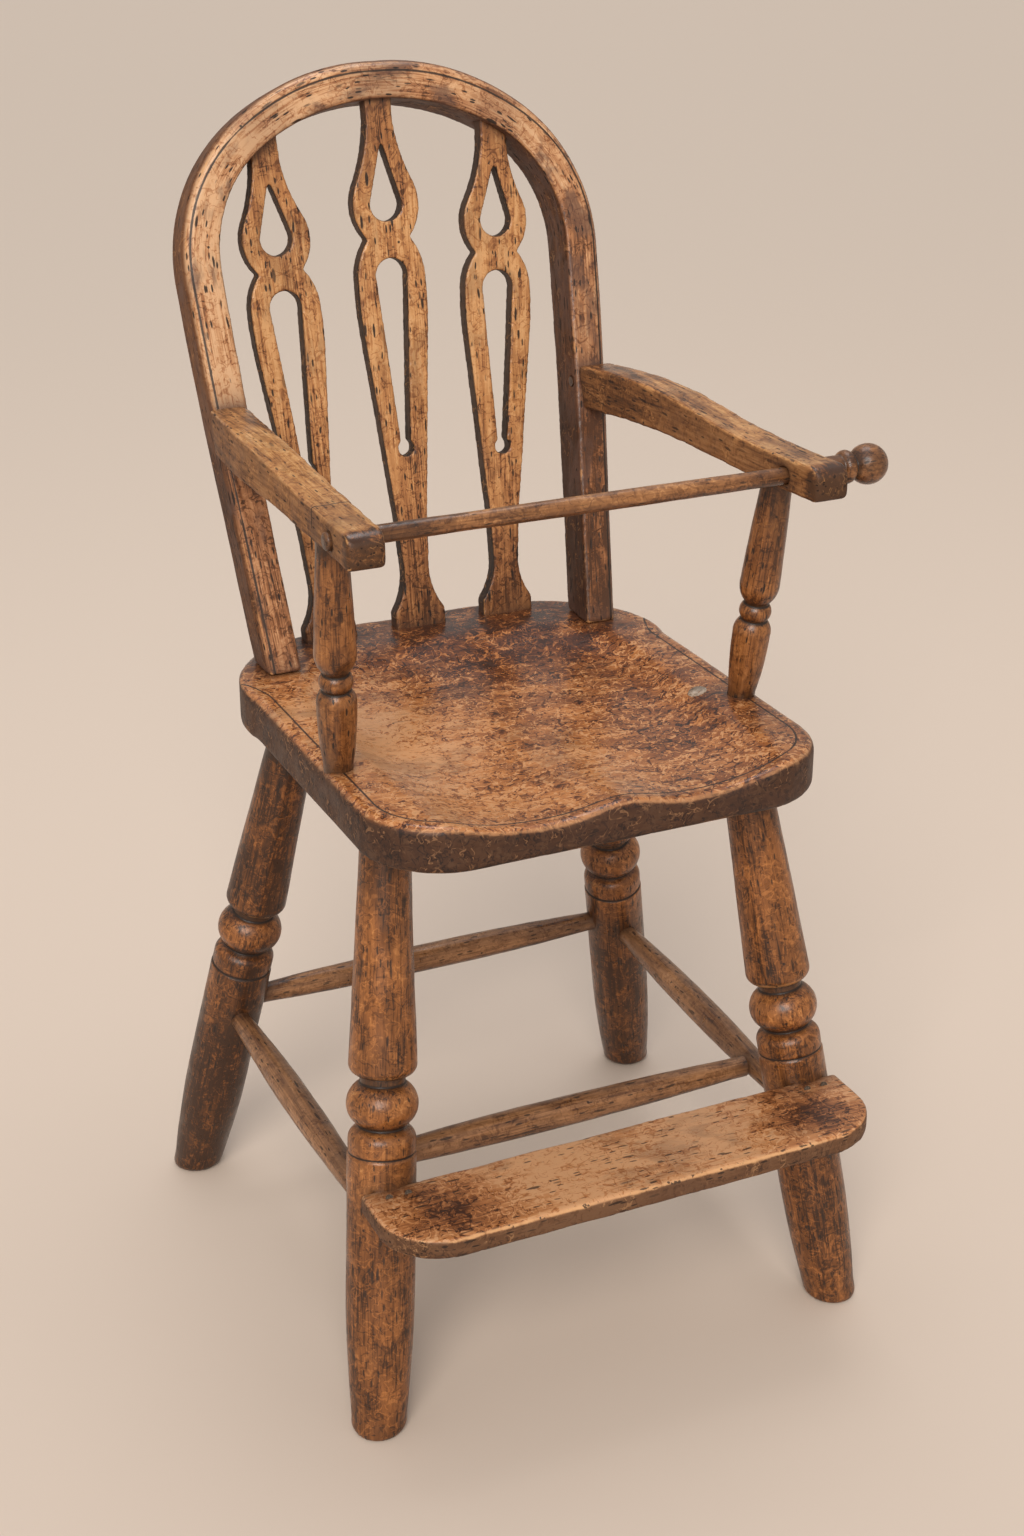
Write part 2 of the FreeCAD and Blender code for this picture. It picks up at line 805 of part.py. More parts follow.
def bow_blank():
    """The bent bow, still too long at its feet."""
    spare = d.bow_depth
    outer_slope = (bow_outer_bend_x - bow_outer_foot) / d.bow_outer_bend
    inner_slope = (bow_inner_bend_x - bow_inner_foot) / d.bow_inner_bend
    outline = [
        line_to(bow_outer_bend_x, d.bow_outer_bend),
        flow_to(inside(d.bow_outer_widest_in), d.bow_outer_widest_height),
        flow_to(inside(d.bow_outer_shoulder_in), d.bow_outer_shoulder),
        flow_to(0, d.bow_outer_top),
        line_to(0, d.bow_inner_top),
        arc_to(bow_crown_middle(), (splat_top_x, d.bow_inner_shoulder)),
        flow_to(inside(d.bow_inner_widest_in), d.bow_inner_widest_height),
        flow_to(bow_inner_bend_x, d.bow_inner_bend),
        line_to(bow_inner_foot - inner_slope * spare, -spare),
    ]
    start = (bow_outer_foot - outer_slope * spare, -spare)
    body, board, sketch = sawn("bow_blank", "XZ_Plane", d.bow_depth, start, outline, reverse=True)
    evened(body, board, sketch)
    lean = f"rotation(vector(1; 0; 0); {(-d.bow_tilt).text})"
    base = f"vector(0; {bow_front.text}; {d.seat_top.text})"
    body.setExpression("Placement", f"placement({base}; {lean})")
    return body


def bow_crown_middle():
    """A point of the bow's inner crown, on the arc that is level at the middle of the back."""
    half = splat_top_x
    rise = d.bow_inner_top - d.bow_inner_shoulder
    radius = (half * half + rise * rise) / (rise * 2)
    x = half / 2
    return x, d.bow_inner_top - radius + root(radius * radius - x * x)


def bow_point(x, height, depth):
    """A point of the bow: sideways, up its lean and back from its front face."""
    y = bow_front + height * sine(d.bow_tilt) + depth * cosine(d.bow_tilt)
    z = d.seat_top + height * cosine(d.bow_tilt) - depth * sine(d.bow_tilt)
    return point(x, y, z)


def bow_foot_line():
    """Two points of the middle line of the right-hand post, at its foot and at its bend."""
    foot = (bow_outer_foot + bow_inner_foot) / 2
    bend = (bow_outer_bend_x + bow_inner_bend_x) / 2
    depth = d.bow_depth / 2
    return bow_point(foot, ZERO, depth), bow_point(bend, d.bow_outer_bend, depth)


def splat_tilt():
    """How far the splats are tipped back to enter the bow behind its front face."""
    back = bow_front + d.bow_inner_top * sine(d.bow_tilt) + d.splat_top_setback - splat_front
    return arc_tangent(back / (d.bow_inner_top * cosine(d.bow_tilt)))


def splat_pose(x, lean):
    """Placement of a splat: base on the seat, tipped back and leaning sideways."""
    base = f"vector({x.text}; {splat_front.text}; {d.seat_top.text})"
    tilt = f"rotation(vector(1; 0; 0); {(-splat_tilt()).text})"
    sideways = f"rotation(vector(0; 1; 0); {lean.text})"
    return f"placement({base}; {tilt} * {sideways})"


def splat(label, x, lean, top, share):
    """A splat, with a keyhole slot and a drop-shaped opening sawn through it."""

    def corner(half, height):
        return half, height * share

    outline = [
        line_to(d.splat_base, -d.splat_tenon),
        line_to(d.splat_base, d.splat_block_height * share),
        line_to(*corner(d.splat_block_shoulder, d.splat_block_shoulder_height)),
        arc_to(
            corner(d.splat_waist_curve, d.splat_waist_curve_height),
            corner(d.splat_waist, d.splat_waist_height),
        ),
        flow_to(*corner(d.splat_flare, d.splat_flare_height)),
        line_to(*corner(d.splat_breast, d.splat_breast_height)),
        flow_to(*corner(d.splat_lobe, d.splat_lobe_height)),
        flow_to(*corner(d.splat_notch, d.splat_notch_height)),
        arc_to(
            corner(d.splat_crown, d.splat_crown_height),
            corner(d.splat_crown_end, d.splat_crown_end_height),
        ),
        arc_to(
            corner(d.splat_throat, d.splat_throat_height),
            corner(d.splat_neck, d.splat_neck_height),
        ),
        line_to(d.splat_neck, top),
        line_to(0, top),
    ]
    start = (0, -d.splat_tenon)
    body, board, sketch = sawn(label, "XZ_Plane", d.splat_thickness, start, outline, reverse=True)
    evened(body, board, sketch)
    slot = [
        line_to(*corner(d.slot_shoulder, d.slot_shoulder_height)),
        arc_to(corner(ZERO, d.slot_top), corner(-d.slot_shoulder, d.slot_shoulder_height)),
        line_to(*corner(-d.slot_throat, d.slot_throat_height)),
        arc_to(corner(-d.slot_bulb, d.slot_bulb_height), corner(ZERO, d.slot_bulb_bottom)),
        arc_to(
            corner(d.slot_bulb, d.slot_bulb_height),
            corner(d.slot_throat, d.slot_throat_height),
        ),
    ]
    pierced(body, f"{label}_slot", "XZ_Plane", corner(d.slot_throat, d.slot_throat_height), slot, False)
    drop = [
        line_to(*corner(ZERO, d.drop_point)),
        line_to(*corner(-d.drop_side, d.drop_side_height)),
        arc_to(corner(ZERO, d.drop_bottom), corner(d.drop_side, d.drop_side_height)),
    ]
    pierced(body, f"{label}_drop", "XZ_Plane", corner(d.drop_side, d.drop_side_height), drop, False)
    body.setExpression("Placement", splat_pose(x, lean))
    return body


def mortise(name, x, lean, half, low, high):
    """The mortise for one end of a splat."""
    gap = d.glue_gap
    outline = [line_to(half + gap, low), line_to(half + gap, high), line_to(-half - gap, high)]
    thickness = d.splat_thickness + gap * 2
    body, _, _ = sawn(name, "XZ_Plane", thickness, (-half - gap, low), outline, reverse=True)
    shift = f"placement(vector(0; {(-gap).text}; 0); rotation(vector(0; 0; 1); 0))"
    body.setExpression("Placement", f"{splat_pose(x, lean)} * {shift}")
    return body


# Arms


def arm_blank():
    """The right arm, sawn to its side view and to its plan, with a round tenon at the back."""
    rear_top = bow_face(arm_top_rear) - d.glue_gap
    rear_bottom = bow_face(arm_bottom_rear) - d.glue_gap
    nose = d.arm_nose_round
    chin = d.arm_chin_round
    side_view = [
        arc_to(
            (d.arm_hump_y, above(d.arm_top_hump)),
            (-d.arm_middle_y, above(d.arm_top_middle)),
        ),
        flow_to(nose - d.arm_front, arm_top_front),
        flow_to(-d.arm_front, arm_top_front - nose),
        line_to(-d.arm_front, arm_bottom_front + chin),
        flow_to(chin - d.arm_front, arm_bottom_front),
        line_to(-d.arm_middle_y, above(d.arm_bottom_middle)),
        arc_to((d.arm_hump_y, above(d.arm_bottom_bend)), (rear_bottom, arm_bottom_rear)),
    ]
    width = d.arm_width
    reach = arm_nose + width * 2
    sided, _, _ = sawn("arm_side_view", "YZ_Plane", reach, (rear_top, arm_top_rear), side_view)
    back = rear_top + width
    corner = d.arm_corner_round
    outer_front = arm_nose + d.arm_front_width
    plan = [
        line_to(arm_rear, rear_bottom),
        arc_to((arm_bend, d.arm_bend_y), (arm_middle, d.arm_waist_y)),
        flow_to(arm_nose, corner - d.arm_front),
        flow_to(arm_nose + corner, -d.arm_front),
        line_to(outer_front - corner, -d.arm_front),
        flow_to(outer_front, corner - d.arm_front),
        arc_to((arm_outer_waist(), -d.bar_y / 2), (arm_middle + width, d.arm_waist_y)),
        arc_to((arm_bend + width, d.arm_bend_y), (arm_rear + width, rear_bottom)),
        line_to(arm_rear + width, back),
    ]
    height = above(d.arm_top_hump) + width
    planned, _, _ = sawn("arm_plan", "XY_Plane", height, (arm_rear, back), plan)
    shape = doc.addObject("Part::Common", "arm_shape")
    shape.Base = sided
    shape.Tool = planned
    return joined("arm_blank", [shape, arm_tenon("arm_tenon", ZERO)])


def arm_outer_waist():
    """Outer edge of the arm half way from its middle to the bar."""
    waist = arm_middle + d.arm_width
    front = arm_nose + d.arm_front_width
    return waist + (front - waist) / 4


def arm_tenon(name, gap):
    """The round tenon of the right arm, or with a gap its socket in the bow."""
    face = bow_face(tenon_level)
    start = point(inside(d.arm_tenon_in), face - d.arm_tenon_length / 2, tenon_level)
    end = point(inside(d.arm_tenon_in), face + d.arm_tenon_length, tenon_level)
    length = d.arm_tenon_length * 1.5
    if gap.value > 0:
        length = length + d.tenon_end_gap
    return rod(name, start, end, d.arm_tenon_radius + gap, length)


def arm_peg(name, gap):
    """The peg through the right bow post and the arm's tenon, or with a gap its hole."""
    face = bow_face(tenon_level)
    y = face + d.arm_tenon_length / 2
    rise = (tenon_level - d.seat_top) / cosine(d.bow_tilt)
    slope = (bow_inner_bend_x - bow_inner_foot) / d.bow_inner_bend
    inner = bow_inner_foot + slope * rise
    start = point(inner, y, tenon_level)
    end = point(inner + d.peg_length, y, tenon_level)
    if gap.value > 0:
        start = toward(start, end, -d.tenon_end_gap)
        return rod(name, start, end, d.peg_radius + gap, d.peg_length + d.tenon_end_gap)
    return rod(name, start, end, d.peg_radius, d.peg_length)


# Arm supports


def support_turning():
    """The right arm support, with spare length at both shoulders."""
    length = span(SUPPORT_FOOT, SUPPORT_TOP)
    spare = d.support_tenon_depth / 3
    depth = d.support_tenon_depth
    pin = d.support_tenon_radius
    outline = [
        line_to(pin, -depth),
        line_to(pin, -spare),
        line_to(d.support_foot_radius, -spare),
        line_to(d.support_foot_radius, 0),
        arc_to(
            (d.support_body_radius, d.support_body_height),
            (d.support_shoulder_radius, d.support_shoulder_height),
        ),
        arc_to(
            (d.support_shoulder_round, d.support_shoulder_round_height),
            (d.support_groove_radius, d.support_groove_height),
        ),
        line_to(d.support_groove_radius, d.support_ring_start),
        arc_to(
            (d.support_ring_radius, d.support_ring_height),
            (d.support_neck_radius, d.support_ring_end),
        ),
        line_to(d.support_neck_radius, d.support_bulge_start),
        arc_to(
            (d.support_bulge_round, d.support_bulge_round_height),
            (d.support_bulge_radius, d.support_bulge_height),
        ),
        arc_to(
            (d.support_slim_radius, d.support_slim_height),
            (d.support_top_radius, length),
        ),
        line_to(d.support_top_radius, length + spare),
        line_to(pin, length + spare),
        line_to(pin, length + depth),
        line_to(0, length + depth),
    ]
    return turned("right_arm_support_turning", SUPPORT_FOOT, SUPPORT_TOP, (0, -depth), outline)


def support_socket(name, near, far):
    """The hole for one tenon of the right arm support."""
    depth = d.support_tenon_depth + d.tenon_end_gap
    start = toward(near, far, -depth)
    return rod(name, start, far, d.support_tenon_radius + d.glue_gap, depth * 2)


# Restraining bar


def bar_face():
    """Outer face of the arms where the bar goes through."""
    waist = arm_middle + d.arm_width
    front = arm_nose + d.arm_front_width
    share = (d.bar_y - d.arm_middle_y) / (d.arm_front - d.arm_middle_y)
    return waist + (front - waist) * share


def bar_point(x):
    """A point of the bar's axis."""
    return point(x, -d.bar_y, above(d.bar_height))


def restraining_bar():
    """The plain rod, bevelled at its left-hand end."""
    left = bar_face() + d.bar_end_proud
    start = bar_point(-left)
    end = bar_point(bar_face() + d.knob_standoff + d.bar_in_knob)
    length = span(start, end)
    bevel = d.bar_end_bevel
    outline = [
        line_to(d.bar_radius - bevel, 0),
        line_to(d.bar_radius, bevel),
        line_to(d.bar_radius, length),
        line_to(0, length),
    ]
    return turned("restraining_bar", start, end, (0, 0), outline)


def bar_knob():
    """The knob: a root beside the arm, a collar, a neck and a ball, bored for the bar."""
    start = bar_point(bar_face() + d.knob_standoff)
    ball = d.knob_ball_radius
    neck = d.knob_neck_radius
    length = d.knob_ball_middle + ball
    neck_end = d.knob_ball_middle - root(ball * ball - neck * neck)
    end = bar_point(bar_face() + d.knob_standoff + length)
    collar_start = d.knob_collar_middle * 2 - d.knob_collar_end
    bore = d.bar_radius + d.glue_gap
    depth = d.bar_in_knob + d.tenon_end_gap
    outline = [
        line_to(d.knob_root_radius, 0),
        line_to(d.knob_root_radius, collar_start),
        arc_to((d.knob_collar_radius, d.knob_collar_middle), (d.knob_root_radius, d.knob_collar_end)),
        line_to(neck, d.knob_collar_end),
        line_to(neck, neck_end),
        arc_to((ball, d.knob_ball_middle), (0, length)),
        line_to(0, depth),
        line_to(bore, depth),
    ]
    return turned("bar_knob", start, end, (bore, 0), outline)


def bar_bore():
    """The running hole for the bar in the right arm."""
    start = bar_point(arm_middle - d.arm_width)
    end = bar_point(bar_face() + d.arm_width)
    return rod("bar_bore", start, end, d.bar_radius + d.bar_clearance, span(start, end))


# Assembly


def group(label, pieces):
    """Identical small pieces that share a node, each a solid of its own."""
    compound = doc.addObject("Part::Compound", label)
    compound.Links = pieces
    return compound


def below(name, level):
    """Everything under a level, for trimming a piece to it."""
    reach = d.seat_half_width * 5
    return block(name, (-reach / 2, -reach / 2, level - reach), (reach, reach, reach))


def build():
    """Model every piece and return them, in the order that the chair is put together."""
    nodes = []

    dish = saddle()
    foot_line = bow_foot_line()
    bow_socket_end = toward(*foot_line, -(bow_tenon + d.tenon_end_gap))
    side_lean = arc_tangent((splat_top_x - splat_x) / (d.bow_inner_shoulder * cosine(d.bow_tilt)))
    drop_back = cosine(d.bow_tilt) / cosine(splat_tilt())
    centre_top = d.bow_inner_top * drop_back + d.splat_tenon
    side_top = d.bow_inner_shoulder * drop_back / cosine(side_lean) + d.splat_tenon
    low = -d.splat_tenon - d.tenon_end_gap
    base = d.splat_base
    centre_seat_mortise = mortise("centre_seat_mortise", ZERO, ZERO, base, low, d.splat_tenon)
    side_seat_mortise = mortise("side_seat_mortise", splat_x, side_lean, base, low, d.splat_tenon)

    plug_start = point(inside(d.plug_in), -d.plug_y, d.seat_top - d.plug_depth)
    plug_end = point(inside(d.plug_in), -d.plug_y, d.seat_top)
    plug_hole = rod("plug_hole", plug_start, plug_end, d.plug_radius + d.glue_gap, d.plug_depth)
    seat_sockets = twins([
        leg_socket("front_leg_socket", FRONT_FOOT, FRONT_TOP),
        leg_socket("rear_leg_socket", REAR_FOOT, REAR_TOP),
        support_socket("support_seat_socket", SUPPORT_FOOT, SUPPORT_TOP),
        rod("bow_socket", bow_socket_end, foot_line[0], d.bow_tenon_radius + d.glue_gap, d.bow_depth),
        side_seat_mortise,
    ])
    saddled = cut("saddled_seat", seat_blank(), [dish])
    seat = cut("seat", saddled, seat_sockets + [centre_seat_mortise, plug_hole])
    plug = cut("seat_plug", rod("plug_stock", plug_start, plug_end, d.plug_radius, d.plug_depth), [dish])
    nodes += [seat, plug]

    floor = below("floor", ZERO)
    into_leg = d.leg_shaft_radius - d.stretcher_tenon
    side_axis = (
        at_level(FRONT_FOOT, FRONT_TOP, d.side_stretcher_front_level),
        at_level(REAR_FOOT, REAR_TOP, d.side_stretcher_rear_level),
    )
    side_front = toward(*side_axis, into_leg)
    side_rear = toward(*side_axis[::-1], into_leg)
    rear_axis = at_level(REAR_FOOT, REAR_TOP, d.rear_stretcher_level)
    rear_right = toward(rear_axis, other_side(rear_axis), into_leg)
    cross_axis = toward(*side_axis, d.front_stretcher_setback)
    cross_right = toward(cross_axis, other_side(cross_axis), d.stretcher_end_radius - d.cross_tenon)

    nail_ends = [nail_line(side) for side in (-1, 1)]
    nails = [nail(f"nail_{i}", *ends, ZERO) for i, ends in enumerate(nail_ends, start=1)]
    nail_holes = [nail(f"nail_hole_{i}", *ends, d.glue_gap) for i, ends in enumerate(nail_ends, start=1)]
    reach = footrest_end * 2
    housing_low = d.footrest_top - d.footrest_thickness - d.glue_gap
    housing = block(
        "footrest_housing",
        (-reach, footrest_rear + d.glue_gap - reach, housing_low),
        (reach * 2, reach, d.footrest_thickness + d.glue_gap * 2),
    )
    front_bore = socket("side_stretcher_front_socket", side_front, side_rear, d.stretcher_tenon)
    rear_bores = [
        socket("side_stretcher_rear_socket", side_rear, side_front, d.stretcher_tenon),
        socket("rear_stretcher_socket", rear_right, other_side(rear_right), d.stretcher_tenon),
    ]
    front_leg = leg(
        "front_right_leg", FRONT_FOOT, FRONT_TOP, seat, [floor, front_bore, housing] + nail_holes
    )
    rear_leg = leg("rear_right_leg", REAR_FOOT, REAR_TOP, seat, [floor] + rear_bores)
    nodes += [front_leg, twin("front_left_leg", front_leg)]
    nodes += [rear_leg, twin("rear_left_leg", rear_leg)]

    cross_bore = socket("front_stretcher_socket", cross_right, other_side(cross_right), d.cross_tenon)
    side_blank = stretcher("side_stretcher_turning", side_front, side_rear)
    side_stretcher = cut("right_side_stretcher", side_blank, [cross_bore])
    nodes += [side_stretcher, twin("left_side_stretcher", side_stretcher)]
    nodes.append(stretcher("rear_stretcher", rear_right, other_side(rear_right)))
    nodes.append(stretcher("front_stretcher", cross_right, other_side(cross_right)))
    nodes.append(cut("footrest", footrest_board(), twins(nail_holes)))
    nodes.append(group("footrest_nails", twins(nails)))

    neck = d.splat_neck
    centre_ends = (centre_top - d.bow_depth, centre_top + d.tenon_end_gap)
    centre_neck = mortise("centre_bow_mortise", ZERO, ZERO, neck, *centre_ends)
    side_ends = (side_top - d.bow_depth, side_top + d.tenon_end_gap)
    side_neck = mortise("side_bow_mortise", splat_x, side_lean, neck, *side_ends)
    post_tenon = rod(
        "post_tenon",
        toward(*foot_line, -bow_tenon),
        foot_line[1],
        d.bow_tenon_radius,
        bow_tenon + d.bow_depth,
    )
    posts = cut("bow_posts", bow_blank(), [below("under_bow", d.seat_top + d.glue_gap)])
    whole_bow = joined("whole_bow", [posts] + twins([post_tenon]))
    peg_hole = arm_peg("peg_hole", d.glue_gap)
    bow_bores = twins([arm_tenon("arm_socket", d.glue_gap), peg_hole, side_neck])
    nodes.append(cut("bow", whole_bow, bow_bores + [centre_neck]))
    nodes.append(splat("centre_splat", ZERO, ZERO, centre_top, size(1)))
    side_splat = splat("right_splat", splat_x, side_lean, side_top, d.side_splat_height_share)
    nodes += [side_splat, twin("left_splat", side_splat)]

    support_bore = support_socket("support_arm_socket", SUPPORT_TOP, SUPPORT_FOOT)
    arm = cut("right_arm", arm_blank(), [support_bore, bar_bore(), peg_hole])
    nodes += [arm, twin("left_arm", arm)]
    nodes.append(group("arm_pegs", twins([arm_peg("arm_peg", ZERO)])))
    support = cut("right_arm_support", support_turning(), [seat, arm])
    nodes += [support, twin("left_arm_support", support)]

    nodes += [restraining_bar(), bar_knob()]
    doc.recompute()
    return nodes


def faults(nodes):
    """Every object that failed, and every piece that has no sound solid."""
    broken = [item.Label for item in doc.Objects if {"Invalid", "Error"} & set(item.State)]
    for node in nodes:
        shape = node.Shape
        if shape.isNull() or not shape.isValid() or not shape.Solids:
            broken.append(node.Label)
    return broken


pieces = build()
failed = faults(pieces)
if failed:
    raise RuntimeError(f"pieces that failed: {failed}")
os.makedirs("parts", exist_ok=True)
for piece in pieces:
    piece.Shape.exportStep(f"parts/{piece.Label}.step")
    print(piece.Label, len(piece.Shape.Solids), round(piece.Shape.Volume))
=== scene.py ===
import logging
import math
from dataclasses import dataclass, field
from enum import Enum
from functools import partial, reduce
from typing import Callable, Iterable, Sequence, Union

import bmesh
import bpy
import numpy as np
from mathutils import Matrix, Vector, noise
from mathutils.bvhtree import BVHTree


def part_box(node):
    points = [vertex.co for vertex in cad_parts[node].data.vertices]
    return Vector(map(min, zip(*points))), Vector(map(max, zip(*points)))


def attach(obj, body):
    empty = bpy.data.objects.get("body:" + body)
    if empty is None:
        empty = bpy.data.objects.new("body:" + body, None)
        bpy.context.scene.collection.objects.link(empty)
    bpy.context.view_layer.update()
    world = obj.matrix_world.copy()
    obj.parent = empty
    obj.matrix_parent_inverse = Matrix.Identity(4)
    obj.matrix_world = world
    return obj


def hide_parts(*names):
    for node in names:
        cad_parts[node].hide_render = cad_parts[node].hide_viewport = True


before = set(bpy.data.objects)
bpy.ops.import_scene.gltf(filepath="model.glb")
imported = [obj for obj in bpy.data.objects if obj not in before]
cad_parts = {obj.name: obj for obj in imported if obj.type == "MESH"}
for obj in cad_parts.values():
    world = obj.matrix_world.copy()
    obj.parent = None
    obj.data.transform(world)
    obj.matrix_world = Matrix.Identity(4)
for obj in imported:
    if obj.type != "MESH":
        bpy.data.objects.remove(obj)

log = logging.getLogger("high_chair")

Array = np.ndarray
Colour = tuple[float, float, float]
Socket = bpy.types.NodeSocket
Value = Union[Socket, float, Sequence[float]]
MM = 0.001
TINY = 1e-6

# The body of everything that is glued, pegged or nailed together, the body that slides, and the splats
CHAIR = "chair"
BAR = "bar"
SPLATS = ("left_splat", "centre_splat", "right_splat")

# Levels and places that the frame gives, in metres
SEAT_TOP = 0.492
SEAT_BOTTOM = 0.456
BOW_FRONT = 0.107
BOW_DEPTH = 0.040
BOW_TILT = math.radians(16.0)
SPLAT_FRONT = 0.165
SPLAT_TILT = math.radians(9.395)
SIDE_SPLAT_X = 0.080
SIDE_SPLAT_LEAN = math.radians(2.6)
FRONT_FOOT, FRONT_TOP = (0.200, -0.207, 0.0), (0.148, -0.1215, SEAT_BOTTOM)
REAR_FOOT, REAR_TOP = (0.2175, 0.1973, 0.0), (0.134, 0.105, SEAT_BOTTOM)
SUPPORT_FOOT, SUPPORT_TOP = (0.1675, -0.0815, SEAT_TOP), (0.176, -0.109, 0.674)


class Side(Enum):
    """Left and right as seen from the front."""

    LEFT = -1
    RIGHT = 1

    @property
    def word(self) -> str:
        """The side's name in a node's name."""
        return self.name.lower()


# Flat outlines


def spun(angle: float) -> Array:
    """The matrix that turns flat points by an angle."""
    return np.array([[math.cos(angle), -math.sin(angle)], [math.sin(angle), math.cos(angle)]])


class Outline:
    """A flat outline of straight and round stretches, kept as close points."""

    def __init__(self, x: float, y: float) -> None:
        """Start an outline.

        Args:
            x: Sideways place of its first point, in millimetres.
            y: The other place of that point.
        """
        self.points: list[Array] = [np.array([x, y], float)]
        self.heading = np.array([1.0, 0.0])

    def line(self, x: float, y: float) -> "Outline":
        """Add a straight stretch.

        Args:
            x: Sideways place of its end.
            y: The other place of its end.

        Returns:
            The outline.
        """
        end = np.array([x, y], float)
        self.heading = (end - self.points[-1]) / np.linalg.norm(end - self.points[-1])
        self.points.append(end)
        return self

    def flow(self, x: float, y: float, steps: int = 24) -> "Outline":
        """Add a round stretch that leaves the last one without a corner.

        Args:
            x: Sideways place of its end.
            y: The other place of its end.
            steps: How many points to take on it.

        Returns:
            The outline.
        """
        start = self.points[-1]
        chord = np.array([x, y], float) - start
        turn = math.atan2(
            self.heading[0] * chord[1] - self.heading[1] * chord[0], float(self.heading @ chord)
        )
        length = np.linalg.norm(chord)
        first = self.heading
        for i in range(1, steps + 1):
            angle = turn * i / steps
            reach = length * i / steps
            if abs(turn) > TINY:
                reach = length * math.sin(angle) / math.sin(turn)
            self.points.append(start + spun(angle) @ first * reach)
        self.heading = spun(2 * turn) @ first
        return self

    def through(self, x: float, y: float, end_x: float, end_y: float, steps: int = 24) -> "Outline":
        """Add a round stretch through one point to another.

        Args:
            x: Sideways place of the point on the way.
            y: The other place of that point.
            end_x: Sideways place of its end.
            end_y: The other place of its end.
            steps: How many points to take on it.

        Returns:
            The outline.
        """
        a, b, c = (complex(*p) for p in (self.points[-1], (x, y), (end_x, end_y)))
        w = (c - a) / (b - a)
        middle = (a - b) * (w - abs(w) ** 2) / (w - w.conjugate()) + a
        turn = np.angle((b - middle) / (a - middle)) + np.angle((c - middle) / (b - middle))
        for i in range(1, steps + 1):
            point = middle + (a - middle) * np.exp(1j * turn * i / steps)
            self.points.append(np.array([point.real, point.imag]))
        forward = (c - middle) * 1j * np.sign(turn) / abs(c - middle)
        self.heading = np.array([forward.real, forward.imag])
        return self

    def mirrored(self) -> Array:
        """The outline, which ends at x = 0, followed by its mirror image, in metres."""
        half = np.array(self.points) * MM
        return np.vstack([half[:-1], (half * (-1, 1))[::-1]])


@dataclass(frozen=True)
class Rim:
    """The line round a board's face.

    Attributes:
        line: Its points, two numbers each, with the wood on their left.
    """

    line: Array

    def measure(self, places: Array) -> tuple[Array, Array, Array]:
        """Where places lie by the rim.

        Args:
            places: Points to measure from, two numbers each.

        Returns:
            Their distances from the rim, the lengths along it, and the directions into the wood.
        """
        runs = np.diff(self.line, axis=0)
        lengths = np.linalg.norm(runs, axis=1)
        starts = np.concatenate([[0.0], np.cumsum(lengths)[:-1]])
        best = np.full(len(places), np.inf)
        along = np.zeros(len(places))
        inward = np.zeros((len(places), 2))
        for start, run, length, before in zip(self.line[:-1], runs, lengths, starts):
            share = np.clip((places - start) @ run / length**2, 0, 1)
            gap = np.linalg.norm(places - start - share[:, None] * run, axis=1)
            closer = gap < best
            best[closer] = gap[closer]
            along[closer] = before + share[closer] * length
            inward[closer] = np.array([-run[1], run[0]]) / length
        return best, along, inward


def rounded(inset: Array, depth: Array, radius: Array | float) -> tuple[Array, Array, Array]:
    """How far to move the corners of a square edge to make it round.

    Args:
        inset: Distances from the side, in metres.
        depth: Distances from the face.
        radius: Radius of the round edge.

    Returns:
        Moves into the side, moves into the face, and how near each is to the middle of the round.
    """
    a, b = radius - inset, radius - depth
    reach = np.hypot(a, b)
    moved = (a > 0) & (b > 0) & (reach > radius)
    pull = np.where(moved, 1 - radius / np.maximum(reach, 1e-9), 0.0)
    level = np.minimum(a, b) / np.maximum(np.maximum(a, b), 1e-9)
    return a * pull, b * pull, np.where(moved, level, 0.0)


# Surfaces

# How much painted shade darkens an underside, and how far the grain shifts from one seed to the next, in
# metres
UNDERSIDE_PAINTED_SHADE = 0.9
GRAIN_SHIFT = 1.7


def clouds(places: Array, size: float, seed: float, octaves: int = 3) -> Array:
    """Smooth noise from about -1 to 1 at each place.

    Args:
        places: Points in metres.
        size: Size of its largest features in metres.
        seed: Shifts the pattern.
        octaves: How many finer layers it has.

    Returns:
        One number for each place.
    """
    shift = Vector((seed * 7.31, seed * 3.17, seed * 5.93))
    scale = 1 / size
    return np.array(
        [noise.fractal(Vector(p) * scale + shift, 0.9, 2.1, octaves) for p in places.tolist()]
    )


def step(low: float, high: float, values: Array) -> Array:
    """A smooth rise from 0 at low to 1 at high."""
    share = np.clip((values - low) / (high - low), 0, 1)
    return share * share * (3 - 2 * share)


